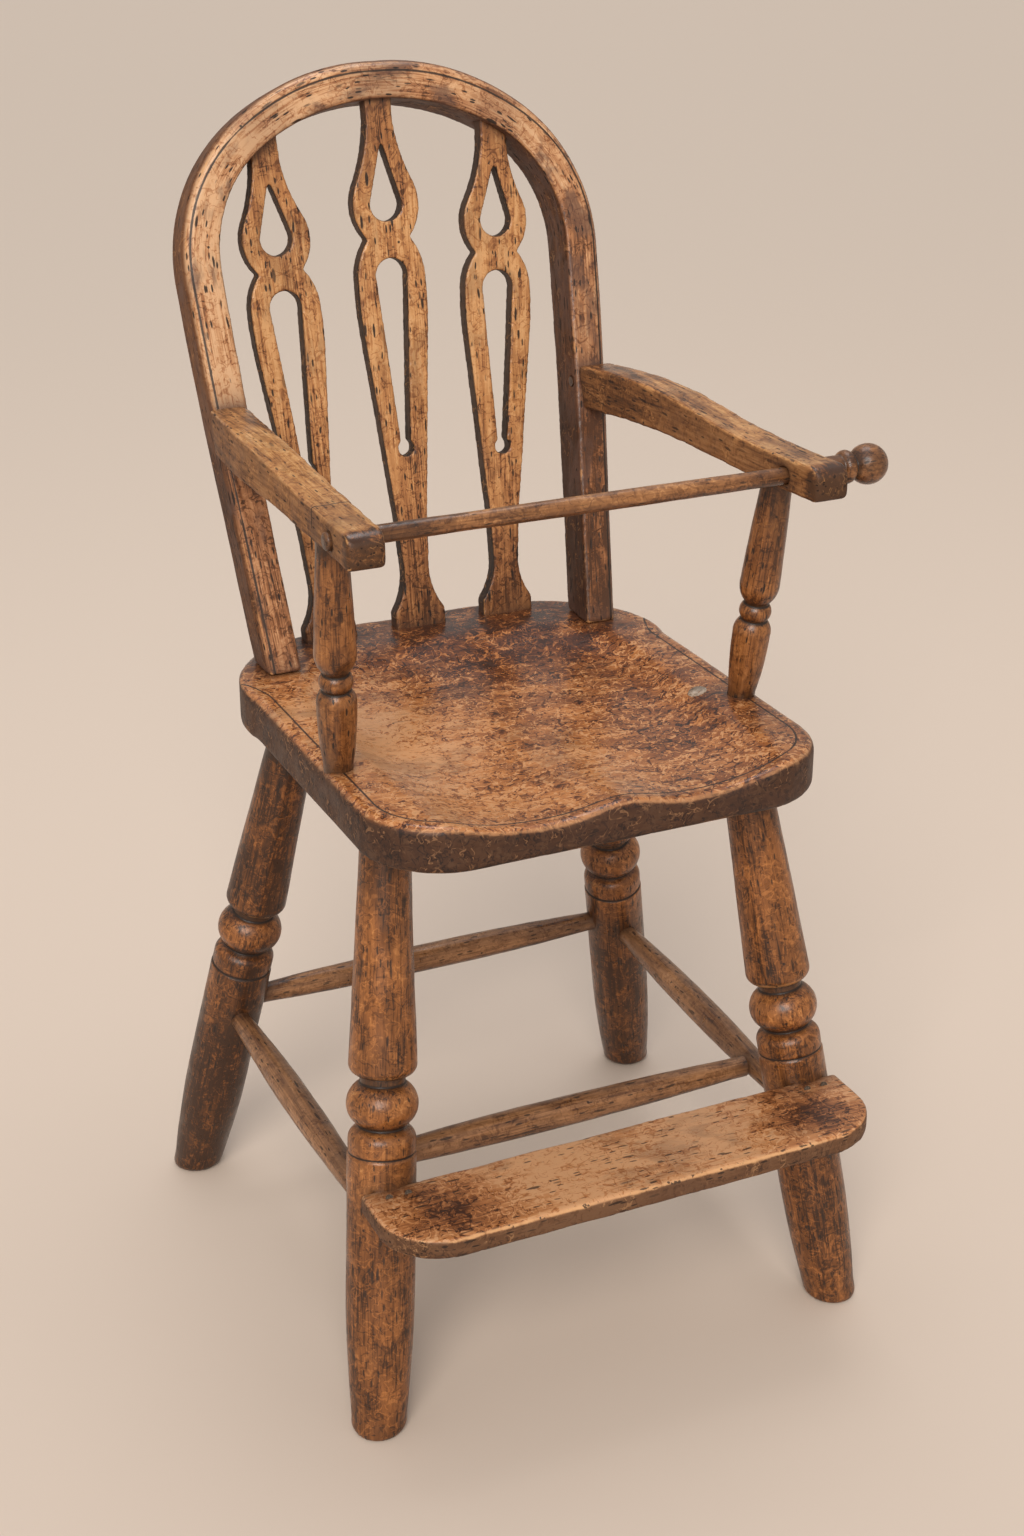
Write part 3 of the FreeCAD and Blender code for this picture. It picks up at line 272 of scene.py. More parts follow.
@dataclass
class Skin:
    """The surface of one piece while it is being shaped and worn.

    Attributes:
        name: The frame node that it stands for.
        mesh: The mesh that keeps it.
        co: Places of its corners.
        links: The two corners of each edge.
    """

    name: str
    mesh: bpy.types.Mesh
    co: Array = field(init=False)
    links: Array = field(init=False)

    def __post_init__(self) -> None:
        """Read the mesh's corners and edges."""
        count = len(self.mesh.vertices)
        flat = np.empty(count * 3, np.float32)
        self.mesh.vertices.foreach_get("co", flat)
        self.co = flat.reshape(-1, 3).astype(float)
        ends = np.empty(len(self.mesh.edges) * 2, np.int32)
        self.mesh.edges.foreach_get("vertices", ends)
        self.links = ends.reshape(-1, 2)

    def write(self) -> None:
        """Put the corners back into the mesh."""
        self.mesh.vertices.foreach_set("co", self.co.astype(np.float32).ravel())
        self.mesh.update()

    def normals(self) -> Array:
        """The direction that each corner faces.

        Returns:
            Three numbers for each corner.
        """
        self.write()
        flat = np.empty(len(self.co) * 3, np.float32)
        self.mesh.vertex_normals.foreach_get("vector", flat)
        return flat.reshape(-1, 3).astype(float)

    def middles(self, values: Array) -> Array:
        """Mean of a value over each corner's neighbours.

        Args:
            values: One number or more for each corner.

        Returns:
            The means, in the same form.
        """
        a, b = self.links[:, 0], self.links[:, 1]
        count = len(values)
        total = np.bincount(a, minlength=count) + np.bincount(b, minlength=count)
        wide = values.reshape(count, -1)
        sums = [
            np.bincount(a, wide[b, i], count) + np.bincount(b, wide[a, i], count)
            for i in range(wide.shape[1])
        ]
        return (np.stack(sums, axis=1) / np.maximum(total, 1)[:, None]).reshape(values.shape)

    def softened(self, values: Array, rounds: int, share: Array | float = 0.5) -> Array:
        """A value drawn towards its neighbours' mean.

        Args:
            values: One number or more for each corner.
            rounds: How many times it is drawn.
            share: How far, from 0 to 1, for all corners or for each.

        Returns:
            The drawn values, in the same form.
        """
        share = np.broadcast_to(share, (len(values),)).reshape(-1, *([1] * (values.ndim - 1)))
        for _ in range(rounds):
            values = values + (self.middles(values) - values) * share
        return values

    def proud(self, rounds: int) -> Array:
        """How far each corner stands out from its softened surroundings, in metres."""
        return np.einsum("ij,ij->i", self.co - self.softened(self.co, rounds), self.normals())

    def push(self, distance: Array) -> None:
        """Move corners along the direction that they face."""
        self.co = self.co + self.normals() * distance[:, None]

    def mark(self, name: str, values: Array) -> None:
        """Keep a value at each corner for the materials to read.

        Args:
            name: What the materials call it.
            values: One number or three for each corner.
        """
        kind, part = ("FLOAT", "value") if values.ndim == 1 else ("FLOAT_VECTOR", "vector")
        layer = self.mesh.attributes.new(name, kind, "POINT")
        layer.data.foreach_set(part, values.astype(np.float32).ravel())

    def mark_wood(self, grain: Array, tone: Callable[[Array], Array] | None, seed: float) -> None:
        """Keep the wood's tone, with painted shade on undersides, and its grain.

        Args:
            grain: Lengths along the grain, across it and into the wood, for each corner.
            tone: Gives how much lighter or darker the wood is at each place.
            seed: Shifts the grain along.
        """
        # Painted shade: faces turned downwards are made darker in the tone
        under = step(-0.05, -0.75, self.normals()[:, 2])
        self.mark("tone", (tone(self.co) if tone else 0.0) - UNDERSIDE_PAINTED_SHADE * under)
        self.mark("grain", grain + (seed * GRAIN_SHIFT, 0, 0))


def cad_mesh(node: str) -> bmesh.types.BMesh:
    """A copy of a frame node's surface, with its doubled corners joined.

    Args:
        node: Name of the frame node.

    Returns:
        The copy, which the caller frees.
    """
    copy = bmesh.new()
    copy.from_mesh(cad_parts[node].data)
    bmesh.ops.remove_doubles(copy, verts=copy.verts[:], dist=0.002 * MM)
    return copy


def tree_of(node: str) -> BVHTree:
    """A search tree of a frame node's surface.

    Args:
        node: Name of the frame node.

    Returns:
        The tree.
    """
    copy = cad_mesh(node)
    tree = BVHTree.FromBMesh(copy)
    copy.free()
    return tree


def nearness(places: Array, nodes: Iterable[str], reach: float) -> Array:
    """How near each place is to other pieces: 1 where it touches them, fading with distance.

    Args:
        places: Points in metres.
        nodes: Names of the frame nodes to measure to.
        reach: Distance over which the value falls to about a third.

    Returns:
        One number for each place.
    """
    near = np.zeros(len(places))
    limit = 4 * reach
    for node in nodes:
        low, high = (np.array(corner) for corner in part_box(node))
        inside = np.all((places > low - limit) & (places < high + limit), axis=1)
        tree = tree_of(node)
        for i in np.flatnonzero(inside):
            found = tree.find_nearest(places[i], limit)
            if found[3] is not None:
                near[i] = max(near[i], math.exp(-found[3] / reach))
    return near


def boxed(copy: bmesh.types.BMesh, low: float, high: float) -> None:
    """Trim a surface to the space between two levels and close it again.

    Args:
        copy: The surface.
        low: The lower level in metres.
        high: The upper level.
    """
    for height, way in ((low, -1), (high, 1)):
        everything = copy.verts[:] + copy.edges[:] + copy.faces[:]
        bmesh.ops.bisect_plane(
            copy, geom=everything, plane_co=(0, 0, height), plane_no=(0, 0, way), clear_outer=True
        )
    rims = [edge for edge in copy.edges if edge.is_boundary]
    bmesh.ops.holes_fill(copy, edges=rims, sides=0)


def carved(name: str, parts: Sequence[bmesh.types.BMesh], voxel: float) -> Skin:
    """One even surface round all the given closed surfaces.

    Args:
        name: Name of the new mesh.
        parts: The surfaces, which are used up.
        voxel: Width of the new surface's faces in metres.

    Returns:
        The new surface.
    """
    joined = bpy.data.meshes.new(f"{name}_rough")
    whole = bmesh.new()
    for part in parts:
        part.to_mesh(joined)
        whole.from_mesh(joined)
        part.free()
    bmesh.ops.triangulate(whole, faces=whole.faces[:])
    whole.to_mesh(joined)
    whole.free()
    holder = bpy.data.objects.new(f"{name}_rough", joined)
    bpy.context.scene.collection.objects.link(holder)
    remesh = holder.modifiers.new("even", "REMESH")
    remesh.mode = "VOXEL"
    remesh.voxel_size = voxel
    graph = bpy.context.evaluated_depsgraph_get()
    mesh = bpy.data.meshes.new_from_object(holder.evaluated_get(graph))
    mesh.name = name
    bpy.data.objects.remove(holder)
    bpy.data.meshes.remove(joined)
    return Skin(name, mesh)


def finished(
    skin: Skin, material: bpy.types.Material, body: str, nodes: Sequence[str]
) -> None:
    """Show a surface as the piece that stands for some frame nodes.

    Args:
        skin: The finished surface.
        material: Its material.
        body: The body that it rides on.
        nodes: The frame nodes that it stands for.
    """
    skin.write()
    skin.mesh.materials.clear()
    skin.mesh.materials.append(material)
    skin.mesh.shade_smooth()
    piece = bpy.data.objects.new(f"{skin.name}_worn", skin.mesh)
    bpy.context.scene.collection.objects.link(piece)
    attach(piece, body)
    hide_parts(*nodes)
    log.info("%s: %d faces", piece.name, len(skin.mesh.polygons))


# Materials


class Graph:
    """Short ways to add and join nodes in one node tree."""

    def __init__(self, tree: bpy.types.NodeTree) -> None:
        """Work on a tree, which may hold nodes already."""
        self.tree = tree

    def node(self, kind: str, inputs: dict | None = None, **settings: object) -> bpy.types.Node:
        """Add a node.

        Args:
            kind: Its type.
            inputs: Values or sockets for its inputs, by name or number.
            settings: Its own properties.

        Returns:
            The node.
        """
        made = self.tree.nodes.new(kind)
        for name, value in settings.items():
            setattr(made, name, value)
        for name, value in (inputs or {}).items():
            self.feed(made.inputs[name], value)
        return made

    def feed(self, socket: Socket, value: Value) -> None:
        """Link an input to a socket, or set its value.

        Args:
            socket: The input.
            value: The socket or value that it takes.
        """
        if isinstance(value, Socket):
            self.tree.links.new(value, socket)
        elif isinstance(value, tuple) and len(value) == 3 and socket.type == "RGBA":
            socket.default_value = (*value, 1.0)
        else:
            socket.default_value = value

    def math(self, operation: str, *values: Value, clamp: bool = False) -> Socket:
        """A sum of one to three values."""
        made = self.node("ShaderNodeMath", dict(enumerate(values)), operation=operation, use_clamp=clamp)
        return made.outputs[0]

    def fold(self, operation: str, values: Iterable[Value]) -> Socket:
        """Several values taken together, one after the other."""
        return reduce(partial(self.math, operation), values)

    def weigh(self, parts: Iterable[tuple[Value, float]]) -> Socket:
        """Several values, each multiplied by its share, added up."""
        return self.fold("ADD", [self.math("MULTIPLY", value, share) for value, share in parts])

    def stretch(self, vector: Value, scale: Sequence[float]) -> Socket:
        """A vector with each part multiplied."""
        return self.node("ShaderNodeVectorMath", {0: vector, 1: scale}, operation="MULTIPLY").outputs[0]

    def shift(self, vector: Value, other: Value) -> Socket:
        """Two vectors added."""
        return self.node("ShaderNodeVectorMath", {0: vector, 1: other}, operation="ADD").outputs[0]

    def noise(
        self, vector: Value, scale: float, detail: float = 2.0, rough: float = 0.5, distort: float = 0.0
    ) -> Socket:
        """The value of a noise pattern, about 0.5.

        Args:
            vector: Where it is taken.
            scale: How many features it has to a metre.
            detail: How many finer layers it has.
            rough: How strong those are.
            distort: How much it is stirred.

        Returns:
            The value.
        """
        values = {"Vector": vector, "Scale": scale, "Detail": detail, "Roughness": rough}
        values["Distortion"] = distort
        return self.node("ShaderNodeTexNoise", values).outputs["Fac"]

    def cells(self, vector: Value, scale: float, channel: int) -> tuple[Socket, Socket]:
        """A pattern of cells.

        Args:
            vector: Where it is taken.
            scale: How many cells it has to a metre.
            channel: Which of three chance numbers to take.

        Returns:
            The distance from the middle of the cell, and the cell's chance number.
        """
        made = self.node("ShaderNodeTexVoronoi", {"Vector": vector, "Scale": scale})
        luck = self.node("ShaderNodeSeparateColor", {0: made.outputs["Color"]})
        return made.outputs["Distance"], luck.outputs[channel]

    def rise(
        self, value: Value, low: float, high: float, to_low: float = 0.0, to_high: float = 1.0
    ) -> Socket:
        """A smooth change from one value to another as the input goes from low to high."""
        values = {"Value": value, "From Min": low, "From Max": high, "To Min": to_low, "To Max": to_high}
        return self.node("ShaderNodeMapRange", values, interpolation_type="SMOOTHSTEP").outputs[0]

    def ridge(self, value: Value, wide: float, narrow: float) -> Socket:
        """A line where a pattern passes its middle: 1 up to narrow from it, and 0 beyond wide."""
        return self.rise(self.math("ABSOLUTE", self.math("SUBTRACT", value, 0.5)), wide, narrow)

    def mix(self, share: Value, a: Value, b: Value) -> Socket:
        """Two colours mixed.

        Args:
            share: How much of the second one there is, from 0 to 1.
            a: The first colour.
            b: The second colour.

        Returns:
            The mixed colour.
        """
        made = self.node("ShaderNodeMix", data_type="RGBA", blend_type="MIX", clamp_factor=True)
        for name, value in (("Factor_Float", share), ("A_Color", a), ("B_Color", b)):
            self.feed(next(s for s in made.inputs if s.identifier == name), value)
        return next(s for s in made.outputs if s.identifier == "Result_Color")

    def ramp(self, value: Value, stops: Sequence[tuple[float, Colour]]) -> Socket:
        """A colour for each value.

        Args:
            value: The value.
            stops: Values, each with its colour.

        Returns:
            The colour.
        """
        made = self.node("ShaderNodeValToRGB", {"Fac": value})
        band = made.color_ramp
        while len(band.elements) < len(stops):
            band.elements.new(0.5)
        for element, (place, colour) in zip(band.elements, stops):
            element.position = place
            element.color = (*colour, 1.0)
        return made.outputs["Color"]

    def attribute(self, name: str, output: str = "Fac") -> Socket:
        """A value kept at the corners of the piece."""
        return self.node("ShaderNodeAttribute", attribute_name=name).outputs[output]

    def show(self, shader: bpy.types.Node, kind: str = "ShaderNodeOutputMaterial") -> None:
        """Join a shader to the tree's output."""
        self.node(kind, {"Surface": shader.outputs[0]})


def blank(holder: bpy.types.Material | bpy.types.World) -> Graph:
    """Empty the node tree of a material or a surround.

    Args:
        holder: The material or surround.

    Returns:
        The graph of its tree.
    """
    holder.use_nodes = True
    holder.node_tree.nodes.clear()
    return Graph(holder.node_tree)


def new_group(
    name: str, inputs: dict[str, str], outputs: Sequence[str]
) -> tuple[Graph, dict[str, Socket], bpy.types.Node]:
    """An empty node group.

    Args:
        name: Its name.
        inputs: The kind of socket for each input name.
        outputs: Names of its outputs, which are plain values.

    Returns:
        The graph, its input sockets by name, and the node that takes its outputs.
    """
    tree = bpy.data.node_groups.new(name, "ShaderNodeTree")
    for label, kind in inputs.items():
        tree.interface.new_socket(label, in_out="INPUT", socket_type=kind)
    for label in outputs:
        tree.interface.new_socket(label, in_out="OUTPUT", socket_type="NodeSocketFloat")
    graph = Graph(tree)
    entry = graph.node("NodeGroupInput")
    leave = graph.node("NodeGroupOutput")
    return graph, {label: entry.outputs[label] for label in inputs}, leave


# Where the middle of the tree lies from a piece, and how far its rings sway, in metres
PITH_ACROSS = 0.043
PITH_DEEP = 0.068
RING_SWAY = 0.05

# How far the flakes of old polish are pulled out of shape, in metres
FLAKE_SWAY = 0.016


def grain_group() -> bpy.types.NodeTree:
    """Growth rings, fibres, veins, dark flecks and cracks that run along the grain.

    Returns:
        The node group.
    """
    graph, given, leave = new_group(
        "timber_grain",
        {"Grain": "NodeSocketVector", "Ring": "NodeSocketFloat"},
        ("Figure", "Fibre", "Vein", "Fleck", "Crack"),
    )

    def drawn(along: float, across: float) -> Socket:
        """The place in the grain, multiplied along it and across it."""
        return graph.stretch(given["Grain"], (along, across, across))

    parts = graph.node("ShaderNodeSeparateXYZ", {0: given["Grain"]})
    warp = graph.noise(drawn(5.0, 24.0), 1.0, 4.0, 0.55)
    bend = graph.math("MULTIPLY", graph.math("SUBTRACT", warp, 0.5), RING_SWAY)
    across = graph.math("ADD", parts.outputs["Y"], PITH_ACROSS)
    deep = graph.math("ADD", parts.outputs["Z"], PITH_DEEP)
    square = graph.fold("ADD", [graph.math("MULTIPLY", part, part) for part in (across, deep)])
    ring = graph.math("ADD", graph.math("SQRT", square), bend)
    turns = graph.math("MULTIPLY", graph.math("DIVIDE", ring, given["Ring"]), math.tau)
    graph.feed(leave.inputs["Figure"], graph.math("MULTIPLY_ADD", graph.math("SINE", turns), 0.5, 0.5))

    fine = graph.noise(drawn(30.0, 900.0), 1.0, 3.0, 0.6)
    broad = graph.noise(drawn(14.0, 220.0), 1.0, 2.0, 0.5)
    graph.feed(leave.inputs["Fibre"], graph.rise(graph.weigh(((fine, 0.55), (broad, 0.45))), 0.36, 0.64))

    sway = graph.stretch(graph.noise(drawn(30.0, 60.0), 1.0, 1.0), (0.0, 2.0, 2.0))
    flecks = []
    for along, wide, chance in ((110.0, 460.0, 0.87), (60.0, 320.0, 0.93)):
        near, luck = graph.cells(graph.shift(drawn(along, wide), sway), 1.0, 0)
        chosen = graph.rise(luck, chance - 0.03, chance + 0.03)
        flecks.append(graph.math("MULTIPLY", graph.rise(near, 0.42, 0.28), chosen))
    graph.feed(leave.inputs["Fleck"], graph.fold("MAXIMUM", flecks))

    for name, wide, width, low in (("Vein", 260.0, 0.05, 0.44), ("Crack", 120.0, 0.012, 0.62)):
        split = graph.ridge(graph.noise(drawn(9.0, wide), 1.0, 2.0, 0.5), width, width / 4)
        gate = graph.rise(graph.noise(drawn(16.0, 45.0), 1.0, 1.0), low, low + 0.06)
        graph.feed(leave.inputs[name], graph.math("MULTIPLY", split, gate))
    return graph.tree


def patina_group() -> bpy.types.NodeTree:
    """Dark patches, flakes, light and dark curled marks, and worm pits that old polish gathers.

    Returns:
        The node group.
    """
    graph, given, leave = new_group(
        "old_polish",
        {"Place": "NodeSocketVector", "Grain": "NodeSocketVector"},
        ("Cloud", "Flake", "Blotch", "Curl", "Scratch", "Pit", "Sheen"),
    )
    place = given["Place"]
    stir = graph.node("ShaderNodeTexNoise", {"Vector": place, "Scale": 75.0, "Detail": 2.0})
    sway = graph.stretch(graph.shift(stir.outputs["Color"], (-0.5,) * 3), (FLAKE_SWAY,) * 3)
    bent = graph.shift(place, sway)
    flakes = [(graph.cells(bent, scale, 2)[1], share) for scale, share in ((62.0, 0.6), (125.0, 0.4))]
    graph.feed(leave.inputs["Flake"], graph.weigh(flakes))

    drawn = graph.stretch(given["Grain"], (0.45, 1.0, 1.0))
    broad = graph.noise(drawn, 17.0, 3.0, 0.6, 0.5)
    small = graph.noise(drawn, 55.0, 4.0, 0.65, 0.9)
    cloud = graph.noise(drawn, 30.0, 5.0, 0.68, 0.7)
    graph.feed(leave.inputs["Cloud"], graph.rise(cloud, 0.33, 0.67))
    graph.feed(leave.inputs["Blotch"], graph.rise(graph.weigh(((broad, 0.55), (small, 0.45))), 0.49, 0.60))

    for name, drift in (("Curl", 0.0), ("Scratch", 21.3)):
        marks = []
        for scale, offset in ((56.0, 0.0), (88.0, 4.7), (130.0, 9.1)):
            moved = graph.shift(place, (offset + drift, offset * 0.7, offset * 1.3 - drift))
            line = graph.ridge(graph.noise(moved, scale, 1.5, 0.5, 0.7), 0.03, 0.01)
            gate = graph.rise(graph.noise(moved, scale * 1.4, 1.0), 0.49, 0.54)
            marks.append(graph.math("MULTIPLY", line, gate))
        graph.feed(leave.inputs[name], graph.fold("MAXIMUM", marks))

    near, luck = graph.cells(place, 120.0, 1)
    pit = graph.math("MULTIPLY", graph.rise(near, 0.16, 0.1), graph.rise(luck, 0.92, 0.94))
    graph.feed(leave.inputs["Pit"], pit)
    graph.feed(leave.inputs["Sheen"], graph.noise(place, 45.0, 4.0, 0.6))
    return graph.tree


def worn_group() -> bpy.types.NodeTree:
    """Proud edges, where the polish is rubbed away or knocked black, and scribed lines.

    Returns:
        The node group.
    """
    graph, given, leave = new_group(
        "worn_edge",
        {"Wear": "NodeSocketFloat", "Line": "NodeSocketFloat", "Place": "NodeSocketVector"},
        ("Rubbed", "Nick", "Scribed"),
    )
    place = given["Place"]
    ragged = graph.noise(place, 170.0, 3.0, 0.65)
    patchy = graph.noise(place, 30.0, 2.0)
    torn = graph.math("MULTIPLY_ADD", ragged, 0.6, -0.3)
    uneven = graph.math("MULTIPLY_ADD", patchy, 0.9, -0.45)
    level = graph.fold("ADD", (given["Wear"], torn, uneven))
    graph.feed(leave.inputs["Rubbed"], graph.rise(level, 0.3, 0.72))
    spots = graph.rise(graph.noise(place, 240.0, 2.0, 0.5), 0.62, 0.67)
    graph.feed(leave.inputs["Nick"], graph.math("MULTIPLY", spots, graph.rise(given["Wear"], 0.25, 0.6)))
    away = graph.math("ABSOLUTE", graph.math("SUBTRACT", given["Line"], 1.0))
    shaken = graph.math("MULTIPLY_ADD", ragged, 0.0008, -0.0004)
    faint = graph.rise(patchy, 0.42, 0.3, 0.0, 0.0004)
    away = graph.fold("ADD", (away, shaken, faint))
    graph.feed(leave.inputs["Scribed"], graph.rise(away, 0.0012, 0.0005))
    return graph.tree


# How much a piece's own tone counts, the tone that the patterns swing about, the tones of the five
# wood colours, and those of the sawn edges with what their colour is multiplied by; the sawn edges'
# darker colour is partly their own and partly painted shade
TONE_SHARE = 0.4
TONE_MIDDLE = 0.58
TONE_STOPS = (0.0, 0.22, 0.52, 0.82, 1.0)
WALL_AND_SHADE_STOPS = ((0.1, 0.5), (0.9, 1.4))

# Colour of holes and deep scratches, and depth of the small relief in metres
HOLE = (0.016, 0.009, 0.006)
RELIEF = 0.0006


@dataclass(frozen=True)
class Finish:
    """How one kind of piece is coloured and polished. Colours are linear.

    Attributes:
        name: Name of the material.
        deep, dark, middle, light, pale: The wood's colours, from the darkest tone to the lightest.
        stain: Colour of the blotches and the dirt.
        wall: Colour of the sawn edges, partly their own darker colour and partly painted shade.
        rubbed: Colour where the polish is worn away.
        ring: Width of a growth ring in metres.
        stain: Colour of the blotches, and of the dirt and painted shade in hollows and where pieces meet.
        cloud, flake, blotch, curls, scratches: The same for the marks in the polish.
        fleck, crack: The same for the dark flecks and cracks.
        wear: The same for the rubbed edges and the nicks in them.
        edges: How much of the wall colour the sawn edges have.
        glossy: Roughness of the smoothest polish.
        matt: Roughness of the dullest.
        coat: Strength of the clear coat.
        bump: Strength of the small relief.
    """

    name: str
    deep: Colour
    dark: Colour
    middle: Colour
    light: Colour
    pale: Colour
    stain: Colour = (0.045, 0.022, 0.012)
    wall: Colour = (0.05, 0.026, 0.014)
    rubbed: Colour = (0.56, 0.28, 0.105)
    ring: float = 0.007
    figure: float = 0.4
    fibre: float = 0.5
    vein: float = 0.25
    cloud: float = 0.5
    flake: float = 0.15
    blotch: float = 0.6
    curls: float = 0.25
    scratches: float = 0.25
    fleck: float = 0.8
    crack: float = 0.6
    wear: float = 0.7
    edges: float = 0.6
    glossy: float = 0.27
    matt: float = 0.45
    coat: float = 0.12
    bump: float = 0.35


class Timber:
    """Makes wood materials, all from the same three node groups."""

    def __init__(self) -> None:
        """Make the shared groups."""
        self.grain = grain_group()
        self.patina = patina_group()
        self.worn = worn_group()

    def material(self, finish: Finish) -> bpy.types.Material:
        """A wood material.

        Args:
            finish: Its colours and strengths.

        Returns:
            The material, which reads grain, tone, wear, grime, side and line from the piece.
        """
        made = bpy.data.materials.new(finish.name)
        g = blank(made)
        place = g.node("ShaderNodeTexCoord").outputs["Object"]
        grain = g.attribute("grain", "Vector")
        wood = g.node("ShaderNodeGroup", {"Grain": grain, "Ring": finish.ring}, node_tree=self.grain)
        polish = g.node("ShaderNodeGroup", {"Place": place, "Grain": grain}, node_tree=self.patina)
        edge = {"Wear": g.attribute("wear"), "Line": g.attribute("line"), "Place": place}
        worn = g.node("ShaderNodeGroup", edge, node_tree=self.worn)
        sheen, curl = polish.outputs["Sheen"], polish.outputs["Curl"]

        def much(mask: Socket, strength: float) -> Socket:
            """A mask made weaker or stronger."""
            return g.math("MULTIPLY", mask, strength)

        strengths = finish.figure + finish.fibre + finish.cloud + finish.flake
        tone = g.math("MULTIPLY_ADD", g.attribute("tone"), TONE_SHARE, TONE_MIDDLE - strengths / 2)
        masks = (
            (wood, "Figure", finish.figure),
            (wood, "Fibre", finish.fibre),
            (wood, "Vein", -finish.vein),
            (polish, "Cloud", finish.cloud),
            (polish, "Flake", finish.flake),
            (polish, "Curl", finish.curls),
            (polish, "Scratch", -finish.scratches),
        )
        parts = [much(source.outputs[name], strength) for source, name, strength in masks]
        tone = g.fold("ADD", [tone, *parts])
        shades = (finish.deep, finish.dark, finish.middle, finish.light, finish.pale)
        colour = g.ramp(tone, tuple(zip(TONE_STOPS, shades)))

        # Sawn sides take a darker copy of the wood colours: partly their own colour, partly painted shade
        side = g.attribute("side")
        wall_and_shade_ramp = tuple((at, tuple(part * share for part in finish.wall)) for at, share in WALL_AND_SHADE_STOPS)
        colour = g.mix(much(side, finish.edges), colour, g.ramp(tone, wall_and_shade_ramp))
        chipped = g.math("MULTIPLY", g.rise(curl, 0.75, 0.95), g.rise(sheen, 0.5, 0.58))
        colour = g.mix(g.math("MULTIPLY", chipped, much(side, 0.25)), colour, finish.rubbed)
        colour = g.mix(much(polish.outputs["Blotch"], finish.blotch), colour, finish.stain)
        # Dirt and painted shade in hollows and where pieces meet, in the stain colour
        colour = g.mix(much(g.attribute("grime"), 0.8), colour, finish.stain)
        colour = g.mix(much(worn.outputs["Rubbed"], finish.wear), colour, finish.rubbed)
        dents = (
            (wood, "Fleck", finish.fleck),
            (polish, "Pit", 0.9),
            (wood, "Crack", finish.crack),
            (worn, "Nick", finish.wear),
            (worn, "Scribed", 0.92),
        )
        holes = g.fold("MAXIMUM", [much(source.outputs[name], deep) for source, name, deep in dents])
        colour = g.mix(holes, colour, HOLE)

        rough = g.rise(sheen, 0.35, 0.65, finish.glossy, finish.matt)
        rough = g.math("ADD", rough, much(holes, 0.25))
        rough = g.math("ADD", rough, much(side, 0.35), clamp=True)
        height = g.math("MULTIPLY_ADD", wood.outputs["Fibre"], 0.3, much(sheen, 0.5))
        height = g.math("ADD", height, much(curl, 0.3 * finish.curls))
        height = g.math("SUBTRACT", height, much(polish.outputs["Scratch"], 0.4 * finish.scratches))
        height = g.math("SUBTRACT", height, much(holes, 0.9))
        bump = g.node("ShaderNodeBump", {"Strength": finish.bump, "Distance": RELIEF, "Height": height})
        front = g.math("SUBTRACT", 1.0, much(side, 0.75))
        surface = g.node(
            "ShaderNodeBsdfPrincipled",
            {
                "Base Color": colour,
                "Roughness": rough,
                "Normal": bump.outputs[0],
                "IOR": 1.45,
                "Coat Weight": much(front, finish.coat),
                "Coat Roughness": 0.18,
            },
        )
        g.show(surface)
        return made


BOW = Finish(
    "bow_timber", deep=(0.085, 0.034, 0.015), dark=(0.21, 0.078, 0.028),
    middle=(0.42, 0.185, 0.078), light=(0.60, 0.32, 0.155), pale=(0.70, 0.42, 0.23),
    stain=(0.115, 0.058, 0.04), wall=(0.085, 0.025, 0.004), figure=0.2, fibre=0.3, vein=0.35,
    cloud=0.28, flake=0.15, blotch=0.7, curls=0.15, scratches=0.35, edges=0.93, wear=0.8,
    rubbed=(0.60, 0.29, 0.11), fleck=0.95,
)
SPLAT = Finish(
    "splat_timber", deep=(0.07, 0.026, 0.010), dark=(0.20, 0.072, 0.025),
    middle=(0.42, 0.178, 0.062), light=(0.58, 0.28, 0.105), pale=(0.68, 0.37, 0.16),
    stain=(0.10, 0.042, 0.02), wall=(0.028, 0.014, 0.008), figure=0.2, fibre=0.3, vein=0.35,
    cloud=0.22, flake=0.12, blotch=0.35, curls=0.15, scratches=0.35, edges=0.97, wear=0.85,
    rubbed=(0.64, 0.30, 0.10), fleck=0.95,
)
SEAT = Finish(
    "seat_timber", deep=(0.04, 0.014, 0.007), dark=(0.12, 0.034, 0.011),
    middle=(0.30, 0.098, 0.028), light=(0.55, 0.21, 0.062), pale=(0.66, 0.32, 0.135),
    stain=(0.07, 0.028, 0.015), wall=(0.026, 0.010, 0.005), figure=0.05, fibre=0.1, vein=0.08,
    cloud=0.4, flake=0.35, blotch=0.32, curls=0.5, scratches=0.5, crack=0.2, edges=0.93, wear=0.4,
    rubbed=(0.58, 0.29, 0.13), fleck=0.35, glossy=0.22, matt=0.42, coat=0.3,
)
LEG = Finish(
    "leg_timber", deep=(0.04, 0.015, 0.006), dark=(0.125, 0.042, 0.011),
    middle=(0.275, 0.098, 0.026), light=(0.44, 0.17, 0.047), pale=(0.58, 0.26, 0.085),
    stain=(0.05, 0.022, 0.010), figure=0.08, fibre=0.2, vein=0.25, cloud=0.28, flake=0.12,
    blotch=0.22, curls=0.24, scratches=0.22, wear=0.55, crack=0.9,
)
STRETCHER = Finish(
    "stretcher_timber", deep=(0.04, 0.018, 0.009), dark=(0.115, 0.046, 0.019),
    middle=(0.23, 0.104, 0.043), light=(0.37, 0.178, 0.078), pale=(0.48, 0.25, 0.12),
    stain=(0.06, 0.03, 0.018), figure=0.1, fibre=0.25, vein=0.2, cloud=0.25, flake=0.1, blotch=0.22,
    curls=0.12, scratches=0.2, wear=0.5,
)
